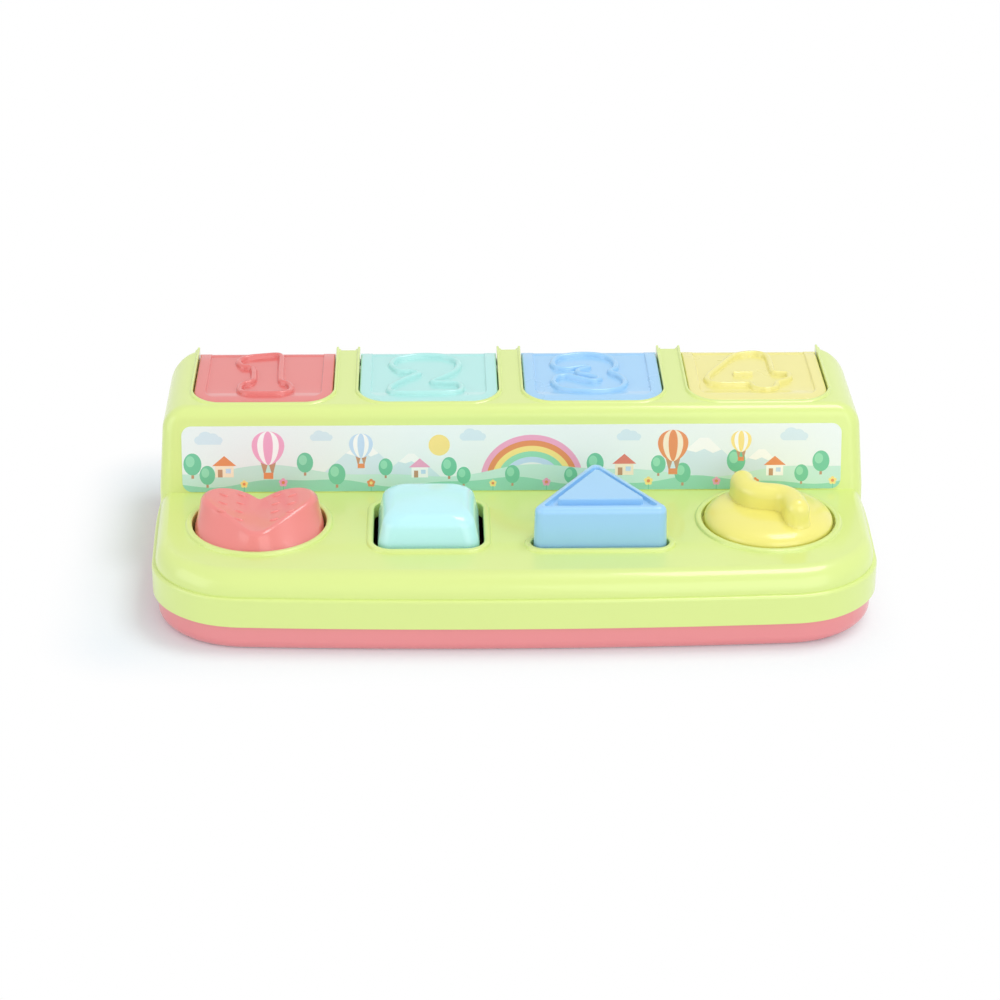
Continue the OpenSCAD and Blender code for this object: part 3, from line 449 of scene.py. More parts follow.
def bowed(points):
    points = np.array(points, float)
    x, y = points[:, 0].copy(), points[:, 1].copy()
    share = ease((bow["fromY"] - y) / bow["overY"])
    side = np.clip((np.abs(x) - bow["fromX"]) / bow["overX"], 0, 1)
    bulge = bow["side"] * np.exp(-((y - bow["sideY"]) / bow["spread"]) ** 2)
    points[:, 0] += np.sign(x) * side * (bulge - bow["taper"] * share)
    points[:, 1] += bow["front"] * (np.minimum(np.abs(x), bow["mostX"]) / bow["frontX"]) ** 2 * share
    return points


def outward(points):  # normals of a closed loop that runs against the clock
    ahead = np.roll(points, -1, 0) - np.roll(points, 1, 0)
    return np.column_stack([ahead[:, 1], -ahead[:, 0]]) / np.linalg.norm(ahead, axis=1)[:, None]


def planOutline():
    wide, deep, front, back = (toy[key] for key in ("halfWidth", "halfDepth", "frontCorner", "backCorner"))
    arcs = np.split(boxLoop(-wide, wide, -deep, deep, front, back, 20)[0], 4)
    runs = [[(wide, y) for y in between(front - deep, deep - back, 20)],
            [(x, deep) for x in between(wide - back, back - wide, 10)],
            [(-wide, y) for y in between(deep - back, front - deep, 20)],
            [(x, -deep) for x in between(front - wide, wide - front, 40)]]
    points = bowed(np.concatenate([part for pair in zip(arcs, runs) for part in pair]))
    return points, outward(points)


def squareLoop(grow, corner, steps=9):
    x, y, (wide, deep) = shell["squareX"], shell["squareY"], shell["squareHalf"]
    wide, deep = wide + grow, deep + grow
    return boxLoop(x - wide, x + wide, y - deep, y + deep, corner, corner, steps)


def rockerReach(angle, radius):  # the heart's opening from its middle: round, drawn in behind the heart's notch
    drop = heart["midY"] * math.sin(angle)
    full = -drop + math.sqrt(drop ** 2 - heart["midY"] ** 2 + radius ** 2)
    return full - shell["holeDip"] * math.exp(-((math.degrees(angle) - 90) / shell["dipAngle"]) ** 2)


def rockerLoop(radius):
    reach = [(rockerReach(a, radius), a) for a in circle(heart["steps"])]
    points = np.array([(r * math.cos(a), r * math.sin(a)) for r, a in reach])
    points += np.array((toy["columns"][0], toy["controlY"] + heart["midY"]))
    return points, outward(points)


def triangleLoop(grow=0.0, steps=8):  # arcs of one radius round three centres
    radius, half, front = shell["triCorner"], shell["triHalf"], shell["triFront"]
    wide, low = half - radius, radius - front
    centres = np.array([(wide, low), (0, shell["triBack"] - radius), (-wide, low)])
    centres += np.array((shell["triX"], toy["controlY"]))
    points, normals = [], []
    for i, centre in enumerate(centres):
        enter, leave = centre - centres[i - 1], centres[(i + 1) % 3] - centre
        start, end = (math.atan2(-d[0], d[1]) for d in (enter, leave))
        if end < start:
            end += 2 * math.pi
        for a in np.linspace(start, end, steps + 1):
            normals.append((math.cos(a), math.sin(a)))
            points.append(centre + (radius + grow) * np.array(normals[-1]))
    return np.array(points), np.array(normals)


def lidPath(x, grow, back, steps=12):  # an open U from the back, round the front, to the back
    half, front, corner = shell["lidHalf"] + grow, shell["lidFront"] - grow, shell["lidCorner"] + grow
    points, normals = [(x - half, back)], [(-1.0, 0.0)]
    for side, start in ((-1, 180), (1, 270)):
        for u, v in arc(1, start, start + 90, steps + 1):
            normals.append((u, v))
            points.append((x + side * (half - corner) + corner * u, front + corner + corner * v))
    return np.array(points + [(x + half, back)]), np.array(normals + [(1.0, 0.0)])


planLoop = planOutline()
holeLoops = [rockerLoop(shell["holeRound"]), squareLoop(shell["squareGap"], shell["squareCorner"] + shell["squareGap"]),
             triangleLoop(shell["triGap"]), circleLoop(toy["columns"][3], toy["controlY"], shell["holeRound"])]


def rearRing(z, shrink):
    top, end, edge = toy["top"] - shrink, shell["endRound"] - shrink, shell["backEdge"]
    lift = min(max(0.0, z - (top - end)), end)
    draw = end - math.sqrt(end * end - lift * lift)
    side = toy["halfWidth"] - shell["rearInset"] - shrink - draw
    side += shell["rearFlare"] * min(1.0, max(0.0, (shell["flareTop"] - z) / shell["flareHigh"]))
    nose, lean = toy["noseR"] - shrink, toy["lean"]
    if z < toy["noseZ"] + nose * math.sin(lean):
        front = toy["panelY"] + shrink / math.cos(lean) + (z - toy["deck"]) * math.tan(lean)
    else:
        front = toy["noseY"] - math.sqrt(max(0.0, nose ** 2 - (z - toy["noseZ"]) ** 2))
    lift = min(max(0.0, z - (top - edge)), edge)
    back = shell["backY"] - shrink - (edge - math.sqrt(edge * edge - lift * lift))
    pillar = shell["pillarRound"] * (1 - 0.7 * draw / end)
    heel = shell["heelRound"] - 0.8 * draw - 0.5 * shrink
    return level(boxLoop(-side, side, front, back, pillar, heel, 9)[0], z)


def rearBlock(low, shrink=0.0):
    end = shell["endRound"] - shrink
    bend = toy["top"] - shrink - end
    levels = [low, *shell["rearSteps"]] + [bend + end * math.sin(a) for a in np.linspace(0, math.pi / 2, 19)]
    skin = Skin()
    skin.loft([rearRing(z, shrink) for z in levels], caps=True)
    return skin.become("rear")


def block(rows, name):
    skin = Skin()
    skin.loft(rows, caps=True)
    return skin.become(name)


def prism(loop, low, high):
    return block([atHeight(loop, 0, low), atHeight(loop, 0, high)], "cutter")


def shellBody():  # deck and rear part, hollow inside
    step, bend, small, crease, seam = (toy[key] for key in ("bandStep", "shoulder", "sideShoulder", "bandTop", "seam"))
    band = [(-0.55, seam), (-0.16, seam + 0.12), (0, seam + 0.45), (0, crease - 1.2), (-0.07, crease - 0.75),
            (-0.28, crease - 0.36), (-0.62, crease - 0.1), (-1.0, crease), (-step, crease + 0.06)]
    curve = arc(bend, 3, 90, 16)
    front = band + [(c - step - bend, crease + s) for c, s in curve]
    side = band + [(c * small / bend - step - small, crease + s) for c, s in curve]
    base = block(facing(planLoop, side, front), "upperShell")
    carve(base, rearBlock(shell["rearLow"]), "UNION")
    inner = [(-shell["sideWall"], 4), (-shell["sideWall"], crease)]
    inner += [(c - step - bend, crease + s) for c, s in arc(bend - shell["wall"], 0, 90, 8)[1:]]
    carve(base, block([atHeight(planLoop, grow, z) for grow, z in inner], "hollow"), "DIFFERENCE")
    carve(base, rearBlock(shell["hollowLow"], shell["wall"]), "DIFFERENCE")
    return base


def makeShell():
    base = shellBody()
    gap, spare, past = shell["lidGap"], shell["spare"], shell["past"]
    for points, normals in holeLoops:
        carve(base, prism((points + 2 * spare * normals, normals), *shell["holeCut"]), "DIFFERENCE")
    for x in toy["columns"]:
        half = shell["lidHalf"] + gap + spare
        hinge = boxLoop(x - half, x + half, shell["hingeY"], past, 0.5, 0.5, 2)
        carve(base, prism(lidPath(x, gap + spare, past), *shell["lidCut"]), "DIFFERENCE")
        carve(base, prism(hinge, *shell["hingeCut"]), "DIFFERENCE")
    for loop in holeLoops:
        skin = Skin()
        skin.loft([atHeight(loop, grow, z) for grow, z in shell["rim"]], loop=True)
        carve(base, skin.become("rim"), "UNION")
    for x in toy["columns"]:
        skin = Skin()
        skin.strip(facing(lidPath(x, gap, shell["backY"] + 0.1), shell["lipSide"], shell["lipFront"]))
        carve(base, skin.become("lip"), "UNION")
    base.data.materials.clear()
    base.data.materials.append(plastic["lime"])
    base.data.polygons.foreach_set("material_index", [0] * len(base.data.polygons))
    settle(smooth(base, 40), "housing", "upper_shell")


tray = {"cutsX": np.arange(-138, 139, 6), "cutsY": np.arange(-44, 57, 8), "moved": 6, "kept": 13}


def cornerStretch(inside, old, new):  # how much further a corner of the new radius reaches than one of the old
    ahead = inside / np.linalg.norm(inside, axis=1)[:, None]
    shift, both = old - new, ahead.sum(1)
    straight = old / ahead.max(1)
    bend = shift * both + np.sqrt((shift * both) ** 2 - 2 * shift ** 2 + new ** 2)
    return np.where(ahead.min(1) * straight < shift, straight, bend) / old


def makeTray():  # the CAD tray, its edge drawn to the shell's outline
    cuts = [((x, 0, 0), (1, 0, 0), False) for x in tray["cutsX"]]
    cuts += [((0, y, 0), (0, 1, 0), False) for y in tray["cutsY"]]
    skin = Skin()
    skin.take(solidCopy("base_tray", cuts))
    points = np.array(skin.points)
    old, new = toy["solidCorner"], toy["frontCorner"]
    inside = np.abs(points[:, :2]) - np.array((toy["halfWidth"] - old, toy["halfDepth"] - old))
    depth = old - np.linalg.norm(np.maximum(inside, 0), axis=1) - np.minimum(inside.max(1), 0)  # in from the outline
    moved = points.copy()
    corner = (inside.min(1) > 0) & (points[:, 1] < 0)
    stretch = cornerStretch(inside[corner], old, new) - 1
    moved[corner, :2] += np.sign(moved[corner, :2]) * inside[corner] * stretch[:, None]
    share = ease((tray["kept"] - depth) / (tray["kept"] - tray["moved"]))
    skin.points = [tuple(p) for p in points + (bowed(moved) - points) * share[:, None]]
    # the tray gets the lightened coral, painted light on its upright sides
    settle(smooth(skin.become("baseTray", [plastic["trayCoralPaintedLight"]]), 30), "housing", "base_tray")


makeShell()
makeTray()
print("upper shell and tray made")

numerals = {  # closed outlines from a lid's middle
    1: [(-11.8, 15.9), (-10, 12.2), (-7, 11.2), (-5.3, 8.6), (-4.7, -1.2), (-6.0, -4.2), (-8.6, -5.6), (-10.0, -9.4),
        (-9.2, -14.4), (-6, -17.4), (1.1, -17.8), (7.6, -17.4), (10.6, -14.6), (11.3, -9.8), (9.8, -6), (7.4, -4.2),
        (6.6, -0.8), (6.1, 16.1), (5.9, 21.9), (4.1, 24.2), (-1.9, 23.4), (-8, 21.9), (-11.1, 19.4)],
    2: [(-15.6, 13), (-13.5, 19.3), (-7, 22.3), (0, 23), (7.5, 21.3), (12.3, 15.5), (11.5, 7), (6, 0), (1.5, -5),
        (6, -6), (12, -6.8), (13.6, -11.8), (10.5, -16.9), (-1.5, -18.0), (-13.5, -17.7), (-16.3, -12.8), (-14.5, -7.5),
        (-9, -1.0), (-4.2, 3.4), (-7, 6.0), (-12, 6.3)],
    3: [(-15.8, 13.6), (-12.9, 20.4), (-3.2, 23.4), (6, 21.6), (10.5, 15.2), (10.4, 8.5), (8, 4.7), (11.6, 0.2),
        (13.7, -5.9), (11, -12.4), (3.5, -16.1), (-5.7, -16.1), (-13.2, -12.4), (-16.3, -6), (-14.4, -0.5),
        (-10.2, 0.8), (-5.5, -2), (0, -4.8), (3, -2.8), (0, 0.5), (-4.5, 2.4), (-5.6, 5.4), (-1, 9.5), (-5, 9.8),
        (-9.5, 8.2), (-14, 9)],
    4: [(-7.4, 19.9), (-2.3, 23.2), (3.6, 23.6), (7.5, 20.0), (8.0, 10.2), (8.4, 3.4), (11.7, 2.4), (14.4, 1.4),
        (14.2, -3.4), (11.2, -6.1), (8.7, -8.2), (7.6, -12.3), (3.6, -15), (-1, -12.6), (-2.8, -8.6), (-9.9, -8.6),
        (-17.5, -8.2), (-20.2, -4), (-18.6, 1.5), (-13.3, 10.4)],
}
fourBar = [(-8.6, 2.2), (-4.6, 2.2), (-0.6, 2.2)]
lid = {
    "midY": 44.6, "floor": 65.9, "under": 64.4, "border": 4.8, "beadHalf": 1.35, "beadHigh": 1.9, "hingeY": 69.8,
    "hingeZ": 62.6, "barrelR": 3.6, "roofR": 3.78, "roofThick": 0.4, "pinR": 1.56, "barrelGap": 7.0,
    "fadeFrom": 24.5, "fadeTo": 32.5, "fallFrom": 63.0, "fall": 0.62,
    "catchLow": 58.5, "catch": ((3, 21.8, 23.8, 0.3, 0.3), ((-0.3, 0), (0, 0.3), (0, 6.3))),  # box, steps
    "barb": ((1.2, 20.6, 22.4, 0.3, 0.1), ((-0.3, 0), (0, 0.3), (0, 1.7), (-0.3, 2))),
    "edge": ((0, 0.9), (0.1, 0.45), (0.35, 0.15), (0.8, 0)),  # inwards, down from the top
    "sink": ((-0.45, 0), (-0.2, 0.06), (0, 0.28), (0.12, 0.8), (0.3, 0.96), (0.6, 1.0)),  # past the border, share
}


def throughPoints(points, steps=6, closed=True):  # a smooth curve through given points
    points = np.array(points, float)
    count, done = len(points), []
    for i in range(count if closed else count - 1):
        pick = [(i + k) % count if closed else min(max(i + k, 0), count - 1) for k in (-1, 0, 1, 2)]
        a, b, c, d = points[pick]
        for t in np.arange(steps) / steps:
            done.append(0.5 * (2 * b + (c - a) * t + (2 * a - 5 * b + 4 * c - d) * t * t
                               + (3 * b - a - 3 * c + d) * t ** 3))
    return np.array(done if closed else done + [points[-1]])


def sunkFloor(y):  # the sunk panel of a lid rises to the border near the front edge
    return toy["top"] - (toy["top"] - lid["floor"]) * ease((y - lid["fadeFrom"]) / (lid["fadeTo"] - lid["fadeFrom"]))


def borderTop(y):  # the border of a lid falls towards the hinge
    return toy["top"] - lid["fall"] * np.clip((y - lid["fallFrom"]) / (lid["hingeY"] - lid["fallFrom"]), 0, 1) ** 2


def beadRing(skin, path, closed=True):  # a half-round bead on a lid's panel
    half, high, foot = lid["beadHalf"], lid["beadHigh"], sunkFloor(path[:, 1])
    ahead = np.roll(path, -1, 0) - np.roll(path, 1, 0)
    if not closed:
        ahead[0], ahead[-1] = path[1] - path[0], path[-1] - path[-2]
    side = np.column_stack([ahead[:, 1], -ahead[:, 0]])
    side /= np.linalg.norm(side, axis=1)[:, None]
    profile = [(-half * 1.35, -0.1), (-half * 1.12, 0.08)]
    profile += [(-half * c, 0.3 + (high - 0.3) * s) for c, s in arc(1, 10, 170, 9)]
    profile += [(half * 1.12, 0.08), (half * 1.35, -0.1), (half, -0.5), (-half, -0.5)]
    rows = [np.column_stack([path + side * grow, foot + z]) for grow, z in profile]
    if closed:
        skin.loft(rows, loop=True)
    else:
        skin.strip(rows)


def barrel(skin, x0, x1, steps=40):  # a hinge barrel along x
    outer, inner, soft = lid["barrelR"], lid["pinR"], 0.3
    profile = ((x0, inner), (x0, outer - soft), (x0 + soft, outer), (x1 - soft, outer), (x1, outer - soft), (x1, inner))
    skin.loft([[(x, lid["hingeY"] + r * math.cos(a), lid["hingeZ"] + r * math.sin(a)) for a in circle(steps)]
               for x, r in profile], loop=True)


def hingeRoof(skin, x0, x1, outer):  # rounds the lid's back edge over the hinge
    curve = arc(outer, 100, 30, 10) + arc(lid["barrelR"] - lid["roofThick"], 30, 100, 10)
    skin.loft([[(x, lid["hingeY"] + c, lid["hingeZ"] + s) for c, s in curve] for x in (x0, x1)], caps=True)


def makeLid(index, hue):
    x, half, border, under = toy["columns"][index - 1], shell["lidHalf"], lid["border"], lid["under"]
    points, normals = lidPath(x, 0, lid["hingeY"], 14)
    long = [points[0] + (points[1] - points[0]) * t for t in between(0, 1, 7)]  # points down the sides
    mirror = [np.array((2 * x - p[0], p[1])) for p in long[::-1]]
    points = np.concatenate([points[:1], long, points[1:-1], mirror, points[-1:]])
    normals = np.concatenate([normals[:1], [(-1.0, 0.0)] * 7, normals[1:-1], [(1.0, 0.0)] * 7, normals[-1:]])
    rows = [atHeight((points, normals), -inset, z) for inset, z in (
        (border, under), (0.4, under), (0.1, under + 0.15), (0, under + 0.45))]
    for inset, down in lid["edge"]:
        flat = points - inset * normals
        rows.append(np.column_stack([flat, borderTop(flat[:, 1]) - down]))
    for inset, share in lid["sink"]:
        flat = points - (border + inset) * normals
        top = borderTop(flat[:, 1])
        rows.append(np.column_stack([flat, top - (top - np.minimum(top, sunkFloor(flat[:, 1]))) * share]))
    skin = Skin()
    rows = skin.loft(rows, closed=False)
    count = len(rows[0])
    for i in range(count // 2 - 1):  # the panel, and the underside, in strips from side to side
        j = count - 1 - i
        skin.face((rows[-1][i], rows[-1][i + 1], rows[-1][j - 1], rows[-1][j]))
        skin.face((rows[0][i], rows[0][j], rows[0][j - 1], rows[0][i + 1]))
    skin.face([row[0] for row in rows] + [row[-1] for row in rows[::-1]])  # closes the back end
    middle = np.array((x, lid["midY"]))
    beadRing(skin, throughPoints(numerals[index]) + middle)
    if index == 4:
        beadRing(skin, throughPoints(fourBar, 4, False) + middle, False)
    inside = half - border - 0.1
    hingeRoof(skin, x - inside - 0.2, x + inside + 0.2, lid["barrelR"])
    for side in (-1, 1):
        hingeRoof(skin, x + side * inside, x + side * half, lid["roofR"])
    barrel(skin, x - half, x - lid["barrelGap"])
    barrel(skin, x + lid["barrelGap"], x + half)
    for (wide, *rest), steps in (lid["catch"], lid["barb"]):
        loop = boxLoop(x - wide, x + wide, *rest, 3)
        skin.loft([atHeight(loop, grow, lid["catchLow"] + z) for grow, z in steps], caps=True)
    name = "lid_%d" % index
    settle(smooth(skin.become("numberedLid%d" % index, [plastic[hue]]), 40), name, name)


for index, hue in enumerate(("coral", "mint", "sky", "lemon"), 1):
    makeLid(index, hue)
print("lids made")


def heartReach(angle):  # from the middle to the outline, by bisection
    ahead = np.array((math.cos(angle), math.sin(angle)))
    lobes = [np.array((side * heart["lobeX"], heart["lobeY"])) for side in (-1, 1)]
    tip = np.array((0.0, heart["point"]))
    gap = lobes[1] - tip
    span = math.sqrt(gap @ gap - heart["lobeR"] ** 2)  # tangent from the tip to a lobe
    turn = math.atan2(gap[1], gap[0]) - math.asin(heart["lobeR"] / math.sqrt(gap @ gap))
    touch = tip + span * np.array((math.cos(turn), math.sin(turn)))
    low, high = 0.0, 45.0
    for _ in range(40):
        middle = (low + high) / 2
        spot = np.array((0.0, heart["midY"])) + middle * ahead
        x, y = abs(spot[0]), spot[1]
        share = (y - tip[1]) / (touch[1] - tip[1])
        within = any((spot - lobe) @ (spot - lobe) < heart["lobeR"] ** 2 for lobe in lobes)
        within = within or (0 <= share <= 1 and x < touch[0] * share)
        within = within or (touch[1] <= y <= heart["lobeY"] and x < heart["lobeX"])
        low, high = (middle, high) if within else (low, middle)
    return low


def heartTop(x):  # two wings that rise from a valley
    return heart["valley"] + heart["slope"] * (np.hypot(x, heart["valleySoft"]) - heart["valleySoft"])


def makeHeart():
    around, edge, foot = circle(heart["steps"]), heart["edge"], heart["foot"]
    reach, soft, window = np.array([heartReach(a) for a in around]), [], np.arange(-18, 19)
    for spread in (heart["notchSoft"], heart["pointSoft"]):  # rounds the notch, and more so the point
        weights = np.exp(-0.5 * (window / spread) ** 2)
        soft.append(sum(w * np.roll(reach, k) for w, k in zip(weights / weights.sum(), window)))
    blunt = np.exp(-(np.degrees(np.abs(around - 1.5 * math.pi)) / heart["bluntAngle"]) ** 2)
    reach = soft[0] + (soft[1] - soft[0]) * blunt
    ahead = np.stack([np.cos(around), np.sin(around)], 1)
    skirt = np.array([rockerReach(a, heart["skirt"]) for a in around])
    middle = np.array((toy["columns"][0], toy["controlY"]))

    def row(length, z):
        return np.column_stack([ahead * length[:, None] + middle + np.array((0, heart["midY"])), z + 0 * length])

    inner = reach - edge  # centres of the edge rounding
    centre = heartTop(ahead[:, 0] * inner) - edge
    rise, run = foot - centre, skirt - inner
    start = np.arctan2(rise, run) + np.arccos(edge / np.hypot(rise, run))  # tangent to the wall
    rows = [row(skirt, heart["low"]), row(skirt, foot)]
    for t in np.linspace(0, 1, 6)[1:]:
        rows.append(row(skirt + (inner + edge * np.cos(start) - skirt) * t, foot + (edge * np.sin(start) - rise) * t))
    for t in np.linspace(0, 1, 10)[1:]:
        bend = start + (math.pi / 2 - start) * t
        rows.append(row(inner + edge * np.cos(bend), centre + edge * np.sin(bend)))
    for share in heart["shares"]:
        rows.append(row(inner * share, heartTop(ahead[:, 0] * inner * share)))
    skin = Skin()
    skin.loft(rows, caps=True)
    for x, places in heart["dashes"]:  # raised grip dashes on both wings
        for y in places:
            dash(skin, x, y, middle)
    addControl(skin, "heartRocker", "rose", "heart_rocker", heart["join"])


def dash(skin, x, y, middle):
    lean = math.radians(heart["dashLean"]) * (-1 if x < 0 else 1)
    around, (length, width) = circle(20), heart["dash"]
    rows = []
    for grow, up in heart["dashSteps"]:
        u, v = length * grow * np.cos(around), width * grow * np.sin(around)
        across, along = x + u * math.cos(lean) - v * math.sin(lean), y + u * math.sin(lean) + v * math.cos(lean)
        rows.append(np.column_stack([middle[0] + across, middle[1] + along, heartTop(across) + up]))
    skin.loft(rows, caps=True)


square = {"low": 27.3, "join": 27.4, "height": 12.6, "draft": 12, "crown": 1.1, "edge": 6.6, "cornerGrow": 0.3,
          "shares": (0.85, 0.68, 0.5, 0.32, 0.15, 0.02)}


def makeSquare():
    edge, draft = square["edge"], math.radians(square["draft"])
    base, bend = toy["deck"], toy["deck"] + square["height"] - edge  # bend: height of the edge rounding's centre
    levels = [(0.0, square["low"]), (0.0, base)]
    for z in np.linspace(base, bend + edge * math.sin(draft), 4)[1:]:
        levels.append(((z - base) * math.tan(draft), z))
    centre = levels[-1][0] + edge * math.cos(draft)
    levels += [(centre - c, bend + s) for c, s in arc(edge, square["draft"], 86, 12)[1:]]
    corner, grow = shell["squareCorner"], square["cornerGrow"]
    rows = [atHeight(squareLoop(-inset, corner + grow * inset), 0, z) for inset, z in levels]
    last, middle = rows[-1], np.array((shell["squareX"], shell["squareY"], 0.0))
    for share in square["shares"]:
        row = middle + (last - middle) * share
        row[:, 2] = levels[-1][1] + square["crown"] * (1 - share ** 2)
        rows.append(row)
    skin = Skin()
    skin.loft(rows, caps=True)
    addControl(skin, "squareButton", "aqua", "square_button", square["join"])


triangle = {"low": 27.3, "join": 27.4, "height": 17.2, "draft": 1.5, "edge": 2.8, "border": 3.3, "groove": 2.9,
            "grooveDeep": 1.6, "pad": 1.5, "innerCorner": 1.2}


def insetTriangle(loop, inset, z):  # inner loops keep a small corner radius
    points, normals = loop
    radius, small = shell["triCorner"], triangle["innerCorner"]
    if inset <= radius - small:
        return level(points - inset * normals, z)
    count = len(points) // 3
    corners, moved = (points - radius * normals)[::count], []
    for i in range(3):  # past a corner's centre the three centres move in
        a, b = corners[i - 1] - corners[i], corners[(i + 1) % 3] - corners[i]
        a, b = a / np.linalg.norm(a), b / np.linalg.norm(b)
        half = math.acos(float(a @ b)) / 2
        moved.append(corners[i] + (a + b) / np.linalg.norm(a + b) * (inset + small - radius) / math.sin(half))
    return level(np.repeat(np.array(moved), count, 0) + small * normals, z)


def makeTriangle():
    loop, base, edge = triangleLoop(0, 12), toy["deck"], triangle["edge"]
    top = base + triangle["height"]
    full = (top - edge - base) * math.tan(math.radians(triangle["draft"]))
    rows = [(0, triangle["low"]), (0, base), (full, top - edge)]
    rows += [(full + edge - c, top - edge + s) for c, s in arc(edge, 0, 90, 9)[1:]]
    inner, low, pad = full + triangle["border"], top - triangle["grooveDeep"], top + triangle["pad"]
    outer = inner + triangle["groove"]
    rows += [(inner - 0.35, top), (inner - 0.1, top - 0.1), (inner, top - 0.35), (inner + 0.12, low + 0.4),
             (inner + 0.5, low), (outer - 0.5, low), (outer - 0.12, low + 0.4), (outer, pad - 0.5),
             (outer + 0.15, pad - 0.15), (outer + 0.55, pad)]
    skin = Skin()
    skin.loft([insetTriangle(loop, inset, z) for inset, z in rows], caps=True)
    addControl(skin, "triangleButton", "sky", "triangle_button", triangle["join"])


dial = {"radius": 26.0, "low": 29.5, "wall": 32.8, "join": 31.0, "dome": 6.8, "domePower": 3.2, "soft": 0.9,
        "tip": 0.15, "grip": 16.0, "gripFoot": 3.0, "thick": 9.8,
        "path": [(-9.7, 12), (-8.4, 5), (-4, 1), (4, -1), (8.4, -5.5), (9.7, -13)],
        "flare": ((0.9, 0), (0.8, 1.8), (0.4, 2.6), (0.15, 3.4), (0.05, 5.0))}  # wider by, above the foot


def domeHeight(distance):
    share = min(1.0, distance / dial["radius"])
    return toy["deck"] + dial["dome"] * math.sqrt(max(0.0, 1 - share ** dial["domePower"])) ** dial["soft"]


def gripRow(path, half, z):  # a line thickened to an outline with round ends
    ahead = np.gradient(path, axis=0)
    ahead /= np.linalg.norm(ahead, axis=1)[:, None]
    side = half * np.column_stack([ahead[:, 1], -ahead[:, 0]])
    row = list(path + side)
    for end, first, rest in ((-1, side[-1], list((path - side)[::-1])), (0, -side[0], [])):
        start = math.atan2(first[1], first[0])
        row += [path[end] + half * np.array((math.cos(a), math.sin(a))) for a in between(start, start + math.pi, 14)]
        row += rest
    return level(np.array(row), z)


def makeDial():
    x, y = toy["columns"][3], toy["controlY"]
    skin = Skin()
    rings = [(dial["radius"], dial["low"]), (dial["radius"], dial["wall"])]
    for a in np.radians(np.linspace(4, 90, 26)):
        distance = dial["radius"] * math.cos(a) ** dial["soft"] if a < 1.57 else dial["tip"]
        rings.append((distance, domeHeight(distance)))
    skin.loft([atHeight(circleLoop(x, y, r, 96), 0, z) for r, z in rings], caps=True)
    path = throughPoints(dial["path"], 10, False) + np.array((x, y))
    half, foot, top = dial["thick"] / 2, toy["deck"] + dial["gripFoot"], toy["deck"] + dial["grip"]
    rows = [gripRow(path, half + wider, foot + up) for wider, up in dial["flare"]]
    rows += [gripRow(path, max(0.05, c), top - half + s) for c, s in arc(half, 0, 88, 10)]
    skin.loft(rows, caps=True)
    addControl(skin, "twistDial", "butter", "twist_dial", dial["join"])


makeHeart()
makeSquare()
makeTriangle()
makeDial()
print("controls made")

springs = {"wire": 0.45, "sides": 10, "stepsPerTurn": 28, "ends": 0.75, "endRise": 0.06, "travel": 8.2,
           "pressed": {"square_spring": "square_press", "triangle_spring": "triangle_press"},
           "hinge": (8, 2.7, 4),  # length, radius, turns
           "upright": {  # name, places from the column, column, low, high, radius, turns
               "rocker_springs": ("rockerCoils", (-15, 15), 0, 12.1, 29.4, 3.2, 5),
               "square_spring": ("squareCoil", (0,), 1, 16.1, 26.4, 3.8, 5),
               "triangle_spring": ("triangleCoil", (0,), 2, 16.1, 26.4, 3.8, 5),
               "dial_spring": ("dialCoil", (0,), 3, 17.5, 27.0, 7.2, 4)}}


def coil(skin, start, axis, length, radius, turns):  # round wire with flat end turns
    axis = Vector(axis)
    one = axis.orthogonal().normalized()
    two = axis.cross(one)
    wireR, ends, rise = springs["wire"], springs["ends"], springs["endRise"]
    section = [(math.cos(a), math.sin(a)) for a in circle(springs["sides"])]
    whole = turns + 2 * ends
    total = int(whole * springs["stepsPerTurn"])
    rows = []
    for i in range(total + 1):
        turned = whole * i / total
        share = rise * min(turned / ends, 1) + (1 - 2 * rise) * min(max((turned - ends) / turns, 0.0), 1.0)
        share += rise * max(0.0, (turned - turns - ends) / ends)
        out = one * math.cos(2 * math.pi * turned) + two * math.sin(2 * math.pi * turned)
        centre = Vector(start) + axis * (wireR + (length - 2 * wireR) * share) + out * radius
        rows.append([tuple(centre + (out * u + axis * v) * wireR) for u, v in section])
    skin.loft(rows, caps=True)


def makeSprings():
    length, radius, turns = springs["hinge"]
    for i, x in enumerate(toy["columns"], 1):
        skin = Skin()
        coil(skin, (x - length / 2, lid["hingeY"], lid["hingeZ"]), (1, 0, 0), length, radius, turns)
        piece = smooth(skin.become("hingeCoil%d" % i, [springSteel]), 60)
        settle(piece, "housing", "lid_spring_%d" % i)
    for node, (name, aside, column, low, high, radius, turns) in springs["upright"].items():
        x, y = toy["columns"][column], toy["controlY"]
        skin = Skin()
        for shift in aside:
            coil(skin, (x + shift, y, low), (0, 0, 1), high - low, radius, turns)
        piece = settle(smooth(skin.become(name, [springSteel]), 60), "housing", node)
        if node in springs["pressed"]:
            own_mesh(piece)


makeSprings()
print("springs made")

label = {"half": 135.25, "low": 0.4, "high": 27.8, "corner": 4, "lift": 0.04, "thick": 0.3, "middle": 14,
         "rimRise": 1.4, "rimHalf": 9}
inks = {
    "paper": rgb(236, 244, 243), "mist": rgb(214, 232, 240), "far": rgb(200, 234, 222), "meadow": rgb(150, 216, 188),
    "crown": rgb(116, 200, 162), "bright": rgb(150, 220, 184), "trunk": rgb(196, 150, 116), "orange": rgb(232, 146, 92),
    "pink": rgb(240, 168, 200), "yellow": rgb(250, 226, 140), "blue": rgb(196, 220, 244), "white": rgb(250, 250, 248),
    "cream": rgb(250, 234, 208), "brick": rgb(226, 128, 110)}


